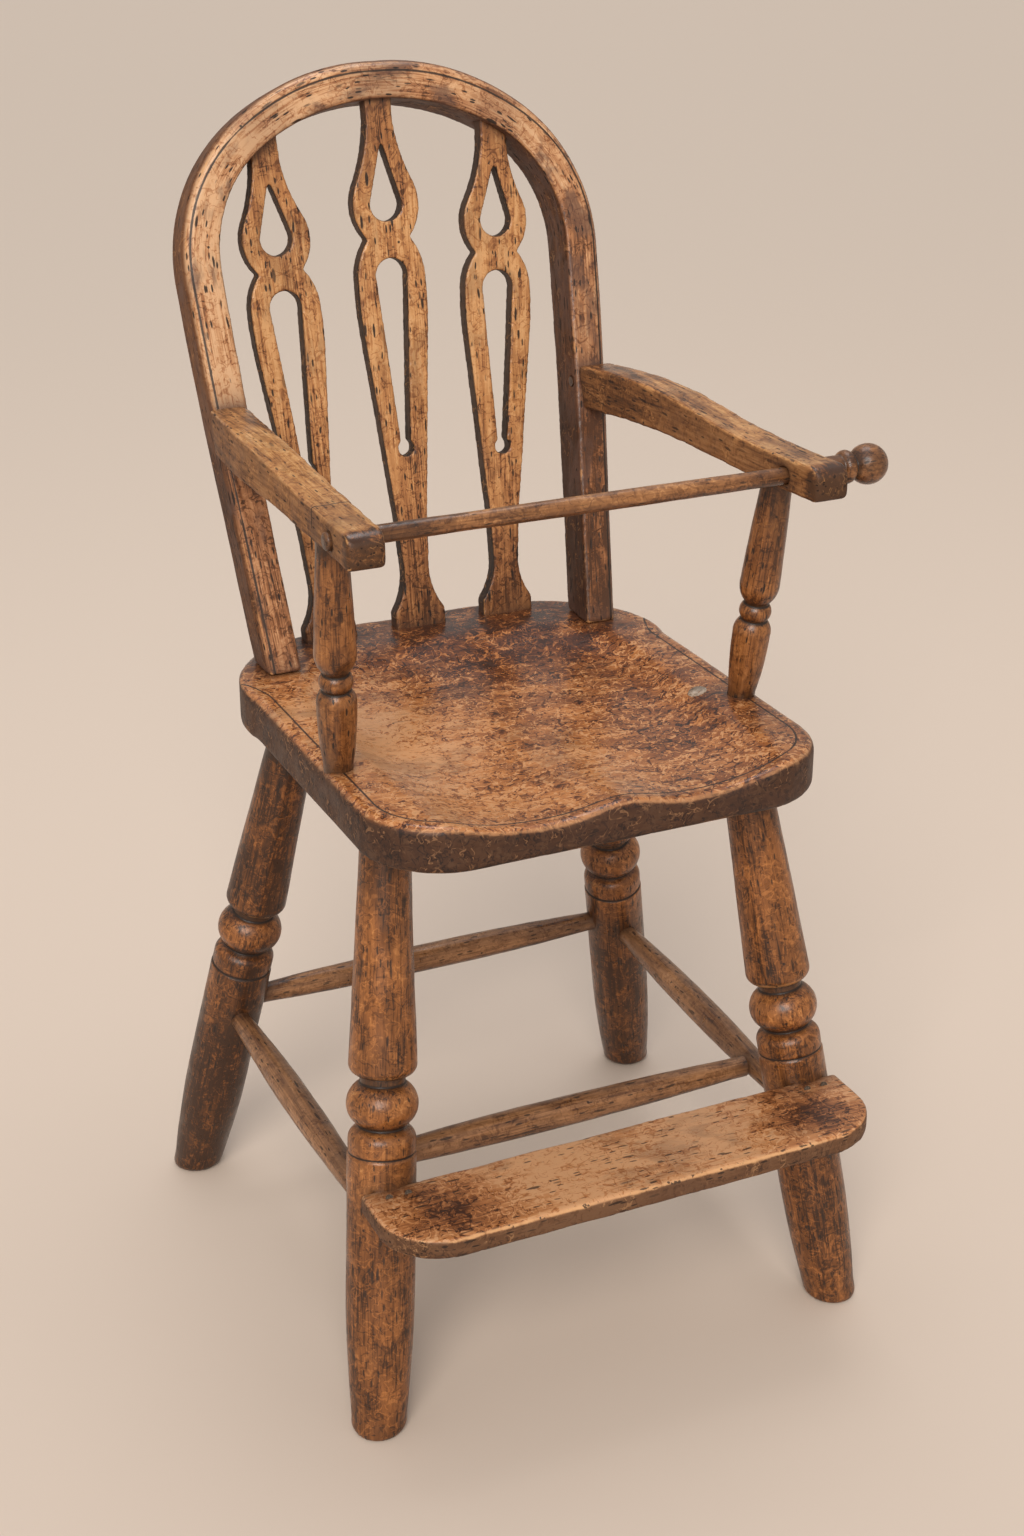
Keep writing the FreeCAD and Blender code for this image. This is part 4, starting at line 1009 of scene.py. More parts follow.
FOOTREST = Finish(
    "footrest_timber", deep=(0.06, 0.02, 0.008), dark=(0.20, 0.065, 0.02),
    middle=(0.44, 0.165, 0.054), light=(0.60, 0.262, 0.10), pale=(0.70, 0.36, 0.17),
    stain=(0.075, 0.03, 0.015), wall=(0.075, 0.033, 0.014), figure=0.12, fibre=0.2, vein=0.2,
    cloud=0.35, flake=0.25, blotch=0.3, curls=0.35, scratches=0.4, crack=0.3, edges=0.92, wear=0.85,
    rubbed=(0.74, 0.40, 0.18),
)
ARM = Finish(
    "arm_timber", deep=(0.055, 0.022, 0.009), dark=(0.16, 0.056, 0.016), middle=(0.39, 0.162, 0.05),
    light=(0.57, 0.28, 0.098), pale=(0.68, 0.38, 0.16), stain=(0.07, 0.03, 0.014),
    wall=(0.15, 0.06, 0.019), figure=0.25, fibre=0.25, vein=0.25, cloud=0.28, flake=0.12,
    blotch=0.3, curls=0.12, scratches=0.25, edges=0.7, wear=0.8, rubbed=(0.66, 0.33, 0.12),
)
SUPPORT = Finish(
    "support_timber", deep=(0.04, 0.015, 0.006), dark=(0.115, 0.039, 0.011),
    middle=(0.26, 0.098, 0.028), light=(0.42, 0.175, 0.054), pale=(0.55, 0.26, 0.09),
    stain=(0.055, 0.024, 0.01), figure=0.12, fibre=0.2, vein=0.25, cloud=0.35, flake=0.2,
    blotch=0.45, curls=0.12, scratches=0.2, wear=0.65, fleck=0.95,
)
RAIL = Finish(
    "bar_timber", deep=(0.04, 0.017, 0.008), dark=(0.10, 0.039, 0.015), middle=(0.21, 0.086, 0.031),
    light=(0.34, 0.15, 0.055), pale=(0.48, 0.23, 0.09), stain=(0.055, 0.025, 0.013), figure=0.1,
    fibre=0.25, vein=0.2, cloud=0.35, flake=0.25, blotch=0.45, curls=0.15, scratches=0.25,
    wear=0.65, glossy=0.26, matt=0.44, coat=0.15,
)
PEG = Finish(
    "peg_timber", deep=(0.03, 0.012, 0.006), dark=(0.06, 0.024, 0.01), middle=(0.13, 0.05, 0.02),
    light=(0.22, 0.09, 0.037), pale=(0.3, 0.14, 0.06), blotch=0.5, curls=0.2, wear=0.4,
)
PLUG = Finish(
    "plug_timber", deep=(0.15, 0.10, 0.07), dark=(0.26, 0.19, 0.135), middle=(0.40, 0.30, 0.22),
    light=(0.50, 0.40, 0.31), pale=(0.58, 0.48, 0.39), stain=(0.20, 0.13, 0.085), blotch=0.4,
    curls=0.2, scratches=0.3, fleck=0.4, wear=0.4, rubbed=(0.5, 0.4, 0.3),
)


# Pieces

# How many feelers find a turned piece's radius, and how far out they start, in metres
FEELERS = 16
FEEL_REACH = 0.06

# Steps in which a worn foot is rounded
FOOT_STEPS = 5

# Lengths in metres: over which a turned outline is smoothed to find what stands proud, over which dirt
# and painted shade by meeting pieces spread on turned pieces, and over which a piece's end keeps its shape
PROUD_SPAN = 0.004
DIRT_AND_SHADE_REACH = 0.007
FIRM_END = 0.004


@dataclass
class Turned:
    """A piece turned on a lathe, worn out of round.

    Attributes:
        node: The frame node that it stands for.
        start: One end of its axis.
        end: The other end.
        low: Where the piece begins along the axis, in metres from start.
        high: Where it ends, in metres beyond end.
        hold: Lengths at the two ends over which it keeps the width that it has further in.
        trim: Levels below and above which it is cut off, if any.
        near: Nodes that it meets, where dirt gathers and shade is painted.
        tone: Gives how much lighter or darker the wood is at each place.
        pitch: Distance between its rings of corners.
        around: Number of corners in a ring.
        foot: Radius of the worn edge where it is cut off below.
        crease: How sharply the outline turns inwards where dirt fills it, in metres.
    """

    node: str
    start: Vector
    end: Vector
    low: float = 0.0
    high: float = 0.0
    hold: tuple[float, float] = (0.0, 0.0)
    trim: tuple[float, float] | None = None
    near: Sequence[str] = ()
    tone: Callable[[Array], Array] | None = None
    pitch: float = 0.001
    around: int = 44
    foot: float = 0.006
    crease: float = 0.0012

    def axes(self) -> tuple[Vector, Vector, Vector]:
        """The piece's own directions.

        Returns:
            Two directions across the axis, and the one along it.
        """
        along = (self.end - self.start).normalized()
        first = along.orthogonal().normalized()
        return first, along.cross(first), along

    def profile(self) -> tuple[Array, Array]:
        """Feel the frame node's radius all along the axis.

        Returns:
            Lengths along the axis, and the radius at each.
        """
        tree = tree_of(self.node)
        first, second, along = self.axes()
        length = (self.end - self.start).length
        near_end = self.pitch * np.array([0.04, 0.12, 0.3, 0.6])
        low, high = self.low, length + self.high
        inner = np.arange(low + self.pitch, high - self.pitch, self.pitch)
        spots = np.sort(np.concatenate([inner, low + near_end, high - near_end]))
        radii = np.full(len(spots), np.nan)
        for i, at in enumerate(spots):
            middle = self.start + along * float(np.clip(at, self.hold[0], length - self.hold[1]))
            found = []
            for turn in np.arange(FEELERS) * math.tau / FEELERS:
                out = first * math.cos(turn) + second * math.sin(turn)
                hit = tree.ray_cast(middle + out * FEEL_REACH, -out, FEEL_REACH)
                if hit[3] is not None:
                    found.append(FEEL_REACH - hit[3])
            if len(found) >= FEELERS / 2:
                radii[i] = np.median(found)
        known = ~np.isnan(radii)
        return spots, np.interp(spots, spots[known], radii[known])

    def surface(self, spots: Array, radii: Array) -> bmesh.types.BMesh:
        """Spin the outline round the axis, close its ends and cut it off at its levels.

        Args:
            spots: Lengths along the axis.
            radii: The radius at each.

        Returns:
            The closed surface.
        """
        first, _, along = self.axes()
        made = bmesh.new()
        places = [self.start + along * float(at) + first * float(r) for at, r in zip(spots, radii)]
        line = [made.verts.new(place) for place in places]
        edges = [made.edges.new(pair) for pair in zip(line, line[1:])]
        bmesh.ops.spin(
            made, geom=line + edges, cent=self.start, axis=along, angle=math.tau, steps=self.around,
            use_merge=True,
        )
        bmesh.ops.holes_fill(made, edges=[edge for edge in made.edges if edge.is_boundary], sides=0)
        if self.trim:
            boxed(made, *self.trim)
            sole = min(made.faces, key=lambda face: face.calc_center_median().z)
            for _ in range(FOOT_STEPS):
                bmesh.ops.inset_region(made, faces=[sole], thickness=self.foot / FOOT_STEPS)
        bmesh.ops.recalc_face_normals(made, faces=made.faces[:])
        return made

    def soil(self, skin: Skin, along: Array, spots: Array, radii: Array) -> None:
        """Mark where the outline stands proud and is rubbed, and where dirt and painted shade darken it.

        Args:
            skin: The surface.
            along: How far along the axis each corner is.
            spots: Lengths along the axis.
            radii: The radius at each.
        """
        even = np.arange(spots[0], spots[-1], self.pitch)
        felt = np.interp(even, spots, radii)
        spread = max(1, round(PROUD_SPAN / self.pitch))
        kernel = np.hanning(spread * 4 + 3)[1:-1]
        soft = np.convolve(np.pad(felt, spread * 2, mode="edge"), kernel / kernel.sum(), mode="valid")
        stand = np.interp(along, even, felt - soft[: len(even)])
        skin.mark("wear", step(0.0006, 0.002, stand) * 0.9)
        # Dirt and painted shade in the hollows and near the pieces that it meets
        hollow = step(0.0001, 0.0012, -stand)
        near_dirt_and_shade = nearness(skin.co, self.near, DIRT_AND_SHADE_REACH)
        skin.mark("grime", np.clip(hollow + near_dirt_and_shade * 0.9, 0, 1))
        skin.mark("side", np.zeros(len(skin.co)))
        bend = np.zeros(len(even))
        bend[2:-2] = felt[4:] + felt[:-4] - 2 * felt[2:-2]
        inner = bend[1:-1]
        sharp = (inner > self.crease) & (inner >= bend[2:]) & (inner > bend[:-2])
        away = np.abs(along[:, None] - even[1:-1][sharp]).min(axis=1, initial=1.0)
        skin.mark("line", 1 + away)

    def round_foot(self, skin: Skin, local: Array, spots: Array, radii: Array) -> None:
        """Round the edge where the piece is cut off below.

        Args:
            skin: The surface.
            local: Each corner's place by the piece's axes, the one along it first.
            spots: Lengths along the axis.
            radii: The radius at each.
        """
        first, second, along = self.axes()
        out = local * (0, 1, 1)
        across = np.linalg.norm(out, axis=1)
        inset = np.interp(local[:, 0], spots, radii) - across
        depth = skin.co[:, 2] - self.trim[0]
        inward, lift, _ = rounded(np.maximum(inset, 0), np.maximum(depth, 0), self.foot)
        spokes = (out / np.maximum(across, TINY)[:, None]) @ np.array([along, first, second])
        skin.co += lift[:, None] * (0, 0, 1) - spokes * inward[:, None]

    def make(self, seed: float) -> Skin:
        """Build the worn surface with its marks.

        Args:
            seed: Shifts its patterns.

        Returns:
            The surface.
        """
        spots, radii = self.profile()
        first, second, along = self.axes()
        surface = self.surface(spots, radii)
        mesh = bpy.data.meshes.new(self.node)
        surface.to_mesh(mesh)
        surface.free()
        skin = Skin(self.node, mesh)
        base = np.array(self.start)
        local = np.stack([(skin.co - base) @ np.array(axis) for axis in (along, first, second)], axis=1)
        self.soil(skin, local[:, 0], spots, radii)
        skin.mark_wood(local, self.tone, seed)
        swell = clouds(skin.co, 0.09, seed) * 0.0004 + clouds(skin.co, 0.02, seed + 3, 2) * 0.00012
        if self.trim:
            skin.push(swell * step(0.0, FIRM_END, skin.co[:, 2] - self.trim[0]))
            self.round_foot(skin, local, spots, radii)
        else:
            skin.push(swell * step(0.0, FIRM_END, local[:, 0] - spots[0]))
        return skin


@dataclass
class Sawn:
    """A piece sawn from a board, its corners rubbed round and chipped.

    Attributes:
        node: The frame node that it stands for.
        voxel: Width of its faces in metres.
        rounds: How much its corners are rubbed.
        grain: Gives lengths along the grain, across it and into the board.
        face: Gives how squarely each direction faces out of the board's face, 0 to 1.
        shape: Rounds the edges: gives the moved places and how rubbed each is.
        line: Gives the distance to a scribed line or crack.
        tone: Gives how much lighter or darker the wood is at each place.
        fill: Nodes whose ends fill its sockets between two levels.
        levels: Those levels.
        near: Nodes that it meets, where dirt gathers and shade is painted.
        chip: Depth of the chips along its edges in metres.
        reach: How far the dirt and the painted shade spread in metres.
    """

    node: str
    voxel: float
    rounds: int
    grain: Callable[[Array], Array]
    face: Callable[[Array, Array], Array]
    shape: Callable[[Array], tuple[Array, Array]] | None = None
    line: Callable[[Array], Array] | None = None
    tone: Callable[[Array], Array] | None = None
    fill: Sequence[str] = ()
    levels: tuple[float, float] = (0.0, 0.0)
    near: Sequence[str] = ()
    chip: float = 0.0007
    reach: float = 0.009

    def make(self, seed: float) -> Skin:
        """Build the worn surface with its marks.

        Args:
            seed: Shifts its patterns.

        Returns:
            The surface.
        """
        parts = [cad_mesh(self.node)]
        for other in self.fill:
            plug = cad_mesh(other)
            boxed(plug, *self.levels)
            parts.append(plug)
        skin = carved(self.node, parts, self.voxel)
        skin.co = skin.softened(skin.co, 2)
        proud = skin.softened(skin.proud(10), 2)
        edge = step(0.15, 0.75, proud / self.voxel)
        rubbed = np.zeros(len(skin.co))
        if self.shape:
            skin.co, rubbed = self.shape(skin.co)
        ragged = clouds(skin.co, 0.03, seed)
        rubbing = np.clip(0.3 + 0.35 * ragged + 0.3 * edge, 0.05, 0.8)
        skin.co = skin.softened(skin.co, self.rounds, rubbing)
        nicks = step(0.28, 0.6, clouds(skin.co, 0.008, seed + 11, 2)) * edge
        skin.push(-nicks * self.chip + clouds(skin.co, 0.07, seed + 5) * 0.0003)
        skin.mark("wear", np.clip(np.maximum(edge, rubbed) * (0.85 + 0.3 * ragged), 0, 1))
        # Dirt and painted shade in the hollows and near the pieces that it meets
        hollow = step(0.2, 0.9, -proud / self.voxel)
        near_dirt_and_shade = nearness(skin.co, self.near, self.reach)
        skin.mark("grime", np.clip(hollow * 0.6 + near_dirt_and_shade * 0.95, 0, 1))
        # Sides turned away from the board's face, which the materials darken partly with painted shade
        skin.mark("side", 1 - self.face(skin.co, skin.normals()))
        skin.mark("line", 1 + (self.line(skin.co) if self.line else np.ones(len(skin.co))))
        skin.mark_wood(self.grain(skin.co), self.tone, seed)
        return skin


def level(foot: Vector, top: Vector, height: float) -> Vector:
    """The point of a leg's axis at a height above the floor."""
    return foot.lerp(top, height / SEAT_BOTTOM)


def flipped(point: Sequence[float], side: Side) -> Vector:
    """A right-hand point on one side of the chair."""
    return Vector((point[0] * side.value, point[1], point[2]))


def spot(co: Array, x: float, y: float, across: float, along: float) -> Array:
    """A soft oval patch seen from above: 1 in its middle, fading outwards."""
    return np.exp(-(((co[:, 0] - x) / across) ** 2) - ((co[:, 1] - y) / along) ** 2)


# Painted shade: how much darker one leg is than another, the rear left leg most
LEG_PAINTED_SHADES = {
    ("front", Side.LEFT): 0.0,
    ("front", Side.RIGHT): 0.2,
    ("rear", Side.LEFT): 0.75,
    ("rear", Side.RIGHT): 0.25,
}


@dataclass
class Undercarriage:
    """Legs, stretchers and footrest.

    Attributes:
        timber: Makes the materials.
        front_level: Height of a side stretcher's axis in the front leg, in metres.
        side_level: Its height in the rear leg.
        rear_level: Height of the rear stretcher's axis.
        setback: Distance of the front stretcher along the side ones, from the front legs.
        inset: How far a stretcher's end is sunk from the axis of what it meets.
        footrest_round: Radius of the footrest's worn edges.
    """

    timber: Timber
    front_level: float = 0.162
    side_level: float = 0.170
    rear_level: float = 0.178
    setback: float = 0.076
    inset: float = 0.010
    footrest_round: float = 0.005

    @staticmethod
    def leg_tone(co: Array, shade: float) -> Array:
        """The legs' tone, darker under the seat and near the floor, and lighter on the bead.

        Args:
            co: Places in metres.
            shade: How much painted shade darkens the whole leg.

        Returns:
            One number for each place.
        """
        up = co[:, 2]
        bead = step(0.236, 0.24, up) * step(0.27, 0.266, up)
        top = step(0.36, 0.456, up)
        low = step(0.21, 0.15, up)
        # The whole leg is darkened by its painted shade
        return -0.15 - shade - 0.6 * top - 0.45 * low + 0.4 * bead

    def legs(self) -> None:
        """The four turned legs."""
        material = self.timber.material(LEG)
        for number, side in enumerate(Side):
            for row, foot, top in (("front", FRONT_FOOT, FRONT_TOP), ("rear", REAR_FOOT, REAR_TOP)):
                near = ["seat", f"{side.word}_side_stretcher"]
                near.append("footrest" if row == "front" else "rear_stretcher")
                piece = Turned(
                    f"{row}_{side.word}_leg", flipped(foot, side), flipped(top, side), low=-0.012,
                    high=0.012, hold=(0.010, 0.010), trim=(0.0, SEAT_BOTTOM + 0.0015), near=near,
                    tone=partial(self.leg_tone, shade=LEG_PAINTED_SHADES[row, side]),
                )
                skin = piece.make(1.0 + number * 2 + (row == "rear"))
                finished(skin, material, CHAIR, [piece.node])

    def stretchers(self) -> None:
        """Two side stretchers, the rear one, and the front one between the side ones."""
        material = self.timber.material(STRETCHER)
        runs = {}
        for side in Side:
            front = level(flipped(FRONT_FOOT, side), flipped(FRONT_TOP, side), self.front_level)
            rear = level(flipped(REAR_FOOT, side), flipped(REAR_TOP, side), self.side_level)
            near = [f"front_{side.word}_leg", f"rear_{side.word}_leg", "front_stretcher"]
            runs[f"{side.word}_side_stretcher"] = (front, rear, near)
        left, right = (runs[f"{side.word}_side_stretcher"] for side in Side)
        cross = [run[0] + (run[1] - run[0]).normalized() * self.setback for run in (left, right)]
        runs["front_stretcher"] = (*cross, ["left_side_stretcher", "right_side_stretcher"])
        ends = [level(flipped(REAR_FOOT, side), flipped(REAR_TOP, side), self.rear_level) for side in Side]
        runs["rear_stretcher"] = (*ends, ["rear_left_leg", "rear_right_leg"])
        for number, (node, (start, end, near)) in enumerate(runs.items()):
            piece = Turned(
                node, start, end, low=self.inset, high=-self.inset, hold=(0.02, 0.02), near=near,
                pitch=0.002, around=32,
            )
            finished(piece.make(7.0 + number), material, CHAIR, [node])

    def footrest(self) -> None:
        """The footrest board."""
        low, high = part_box("footrest")

        def grain(co: Array) -> Array:
            """The grain, which runs along the board."""
            return np.stack([co[:, 0], co[:, 1] + 0.22, co[:, 2] - 0.2], axis=1)

        def face(co: Array, normals: Array) -> Array:
            """How squarely each corner faces up."""
            return step(0.35, 0.8, normals[:, 2])

        def shape(co: Array) -> tuple[Array, Array]:
            """Round the front upper edge.

            Args:
                co: Places in metres.

            Returns:
                The moved places, and how rubbed each is.
            """
            inward, lift, near = rounded(co[:, 1] - low.y, high.z - co[:, 2], self.footrest_round)
            moved = co + inward[:, None] * (0, 1, 0) - lift[:, None] * (0, 0, 1)
            return moved, near * 0.9

        def tone(co: Array) -> Array:
            """The tone, dark at both ends.

            Args:
                co: Places in metres.

            Returns:
                One number for each place.
            """
            left = spot(co, low.x + 0.05, -0.24, 0.05, 0.05)
            right = spot(co, high.x - 0.05, -0.24, 0.045, 0.05)
            return 1.1 - 1.9 * (left + right)

        board = Sawn(
            "footrest", 0.0016, 7, grain, face, shape, tone=tone,
            near=["front_left_leg", "front_right_leg"], chip=0.0009, reach=0.012,
        )
        finished(board.make(12.0), self.timber.material(FOOTREST), CHAIR, ["footrest"])


@dataclass
class SeatBoard:
    """The saddled seat.

    Attributes:
        timber: Makes the materials.
        top_round: Radius of its worn upper edge, in metres.
        under_round: Radius of its lower edge.
        line_inset: Distance of the scribed line from the edge.
    """

    timber: Timber
    top_round: float = 0.008
    under_round: float = 0.006
    line_inset: float = 0.0135

    def rim(self) -> Rim:
        """Plan of the seat's edge."""
        half = Outline(0, -215).line(117, -215).flow(181, -151).line(181, 68)
        return Rim(half.through(165, 143, 108, 185).flow(0, 190).mirrored())

    def make(self) -> None:
        """Build the seat, with the line scribed round its top."""
        rim = self.rim()
        feel = tree_of("seat")

        def grain(co: Array) -> Array:
            """The grain, which runs from side to side."""
            return np.stack([co[:, 0], co[:, 1], co[:, 2] - SEAT_TOP], axis=1)

        def face(co: Array, normals: Array) -> Array:
            """How squarely each corner faces up."""
            return step(0.45, 0.85, normals[:, 2])

        def shape(co: Array) -> tuple[Array, Array]:
            """Round the upper and the lower edge.

            Args:
                co: Places in metres.

            Returns:
                The moved places, and how rubbed each is.
            """
            inset, _, inward = rim.measure(co[:, :2])
            rubbed = np.zeros(len(co))
            moved = co.copy()
            upper = co[:, 2] > SEAT_BOTTOM + self.under_round
            for i in np.flatnonzero((inset < self.top_round) & upper):
                place = co[i, :2] + inward[i] * max(0.0, 0.001 - inset[i])
                hit = feel.ray_cast(Vector((*place, SEAT_TOP + 0.05)), Vector((0, 0, -1)))
                top = max(hit[0].z, SEAT_TOP - 0.02) if hit[0] else SEAT_TOP
                side, lift, rubbed[i] = rounded(inset[i], max(0.0, top - co[i, 2]), self.top_round)
                moved[i] += (*(inward[i] * side), -lift)
            side, lift, _ = rounded(inset, np.maximum(co[:, 2] - SEAT_BOTTOM, 0), self.under_round)
            moved[:, :2] += inward * side[:, None]
            moved[:, 2] += lift
            return moved, step(0.35, 0.95, rubbed) * (0.3 + 0.7 * step(0.5, 0.9, inward[:, 1]))

        def line(co: Array) -> Array:
            """The distance to the line scribed inside the edge of the top."""
            inset = rim.measure(co[:, :2])[0]
            return np.where(co[:, 2] > SEAT_TOP - 0.016, inset - self.line_inset, 1.0)

        def tone(co: Array) -> Array:
            """The tone, lighter on the left, where a highlight is painted, lighter in front, and dark
            behind.

            Args:
                co: Places in metres.

            Returns:
                One number for each place.
            """
            # The first patch, on the left, is a painted highlight
            light = 1.25 * spot(co, -0.11, -0.03, 0.07, 0.13) + 0.7 * spot(co, 0.02, -0.15, 0.05, 0.06)
            dark = 0.8 * spot(co, 0.04, 0.10, 0.13, 0.06) + 0.5 * spot(co, 0.11, -0.09, 0.06, 0.07)
            return 0.1 + light - dark - 0.8 * step(0.10, 0.15, co[:, 1])

        ends = ["bow", *SPLATS] + [f"{side.word}_arm_support" for side in Side]
        ends += [f"{row}_{side.word}_leg" for row in ("front", "rear") for side in Side]
        board = Sawn(
            "seat", 0.0022, 3, grain, face, shape, line, tone, fill=ends + ["seat_plug"],
            levels=(SEAT_BOTTOM + 0.001, SEAT_TOP - 0.001), near=ends, chip=0.0008, reach=0.006,
        )
        finished(board.make(13.0), self.timber.material(SEAT), CHAIR, ["seat"])

    def plug(self) -> None:
        """The plug, which stands a little proud of the seat."""
        low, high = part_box("seat_plug")
        middle = (low + high) / 2
        radius = (high.x - low.x) / 2
        feel = tree_of("seat_plug")
        made = bmesh.new()
        bmesh.ops.create_circle(made, cap_ends=True, radius=radius, segments=40)
        for _ in range(4):
            cap = max(made.faces, key=lambda face: len(face.verts))
            bmesh.ops.inset_region(made, faces=[cap], thickness=radius / 5)
        for vert in made.verts:
            out = vert.co.length / radius
            place = Vector((middle.x, middle.y, 0)) + vert.co * 0.98
            hit = feel.ray_cast(place + Vector((0, 0, 1)), Vector((0, 0, -1)))
            top = hit[0].z if hit[0] else high.z
            vert.co = (place.x, place.y, top + 0.0005 - 0.0003 * out**4)
        border = [edge for edge in made.edges if edge.is_boundary]
        skirt = bmesh.ops.extrude_edge_only(made, edges=border)["geom"]
        lower = [part for part in skirt if isinstance(part, bmesh.types.BMVert)]
        bmesh.ops.translate(made, verts=lower, vec=(0, 0, -0.004))
        bmesh.ops.holes_fill(made, edges=[edge for edge in made.edges if edge.is_boundary], sides=0)
        bmesh.ops.recalc_face_normals(made, faces=made.faces[:])
        mesh = bpy.data.meshes.new("seat_plug")
        made.to_mesh(mesh)
        made.free()
        skin = Skin("seat_plug", mesh)
        skin.mark("line", np.full(len(skin.co), 2.0))
        skin.mark("grain", skin.co)
        finished(skin, self.timber.material(PLUG), CHAIR, ["seat_plug"])


@dataclass
class Back:
    """The bow and the three pierced splats.

    Attributes:
        timber: Makes the materials.
        outer_round: Radius of the bow's worn outer edges, in metres.
        inner_round: Radius of its inner edges.
        post_line: Distance of the scribed line from the outer edge on the posts.
        top_line: The same at the top.
    """

    timber: Timber
    outer_round: float = 0.009
    inner_round: float = 0.003
    post_line: float = 0.0055
    top_line: float = 0.009

    def bow(self) -> None:
        """The bow, with the line scribed inside the outer edge of its front."""
        outer = Outline(155, 0).line(168.8, 171).flow(177.8, 312).flow(122.8, 430.5).flow(0, 470)
        inner = Outline(127, 0).line(141.4, 195).flow(147.7, 317.5).flow(98, 412).flow(0, 440)
        rim, opening = Rim(outer.mirrored()), Rim(inner.mirrored()[::-1])
        upward = np.array([0.0, math.sin(BOW_TILT), math.cos(BOW_TILT)])
        backward = np.array([0.0, math.cos(BOW_TILT), -math.sin(BOW_TILT)])
        base = np.array([0.0, BOW_FRONT, SEAT_TOP])

        def flat(co: Array) -> tuple[Array, Array]:
            """Places in the plane of the bow's front, and their depths behind it."""
            return np.stack([co[:, 0], (co - base) @ upward], axis=1), (co - base) @ backward

        def grain(co: Array) -> Array:
            """The grain, which follows the bend.

            Args:
                co: Places in metres.

            Returns:
                Lengths along the grain, across it and into the wood.
            """
            plan, back = flat(co)
            inset, along, _ = rim.measure(plan)
            return np.stack([along, inset, back], axis=1)

        def face(co: Array, normals: Array) -> Array:
            """How squarely each corner faces forward or back."""
            return step(0.35, 0.85, np.abs(normals @ backward))

        def shape(co: Array) -> tuple[Array, Array]:
            """Round the four long edges.

            Args:
                co: Places in metres.

            Returns:
                The moved places, and how rubbed each is.
            """
            plan, back = flat(co)
            moved = co.copy()
            rubbed = np.zeros(len(co))
            for edge, radius in ((rim, self.outer_round), (opening, self.inner_round)):
                inset, _, inward = edge.measure(plan)
                spokes = inward[:, :1] * (1, 0, 0) + inward[:, 1:] * upward
                for depth, sign in ((back, 1), (BOW_DEPTH - back, -1)):
                    side, lift, near = rounded(inset, np.maximum(depth, 0), radius)
                    moved += spokes * side[:, None] + backward * (sign * lift)[:, None]
                    rubbed = np.maximum(rubbed, step(0.55, 1.0, near) * 0.5)
            return moved, rubbed

        def line(co: Array) -> Array:
            """The distance to the line scribed along the front.

            Args:
                co: Places in metres.

            Returns:
                One number for each place.
            """
            plan, back = flat(co)
            inset = rim.measure(plan)[0]
            wanted = self.post_line + (self.top_line - self.post_line) * step(0.36, 0.46, plan[:, 1])
            return np.where(back < 0.004, inset - wanted, 1.0)

        def tone(co: Array) -> Array:
            """The tone, with painted light on the left and painted shade on the right, and darker below
            and behind.

            Args:
                co: Places in metres.

            Returns:
                One number for each place.
            """
            plan, back = flat(co)
            # Painted light on the left post, painted shade on the right one
            left = step(0.0, -0.14, co[:, 0])
            right = step(0.06, 0.15, co[:, 0]) * step(0.44, 0.30, plan[:, 1])
            low = step(0.20, 0.17, plan[:, 1])
            return 0.4 + 0.5 * left - 0.5 * right - 1.1 * low - 0.6 * step(0.02, 0.03, back)

        near = [*SPLATS] + [f"{side.word}_arm" for side in Side] + ["seat"]
        board = Sawn("bow", 0.0017, 3, grain, face, shape, line, tone, near=near, chip=0.0008)
        finished(board.make(14.0), self.timber.material(BOW), CHAIR, ["bow"])

    def splats(self) -> None:
        """The three splats."""
        material = self.timber.material(SPLAT)
        for number, node in enumerate(SPLATS):
            way = number - 1
            x, lean = way * SIDE_SPLAT_X, way * SIDE_SPLAT_LEAN
            turn = np.array(Matrix.Rotation(-SPLAT_TILT, 3, "X") @ Matrix.Rotation(lean, 3, "Y"))
            base = np.array([x, SPLAT_FRONT, SEAT_TOP])

            def grain(co: Array, turn: Array = turn, base: Array = base) -> Array:
                """The grain, which runs up the splat."""
                local = (co - base) @ turn
                return np.stack([local[:, 2], local[:, 0], local[:, 1]], axis=1)

            def face(co: Array, normals: Array, turn: Array = turn) -> Array:
                """How squarely each corner faces forward or back."""
                return step(0.4, 0.8, np.abs((normals @ turn)[:, 1]))

            def tone(co: Array) -> Array:
                """The tone, darker at the neck and towards the seat.

                Args:
                    co: Places in metres.

                Returns:
                    One number for each place.
                """
                up = co[:, 2] - SEAT_TOP
                neck = step(0.31, 0.38, up)
                lower, base_end = step(0.24, 0.1, up), step(0.11, 0.03, up)
                return 0.65 - 0.6 * neck - 0.5 * lower - 0.8 * base_end

            board = Sawn(
                node, 0.0012, 3, grain, face, tone=tone, near=["bow", "seat"], chip=0.0005, reach=0.008
            )
            finished(board.make(15.0 + number), material, CHAIR, [node])


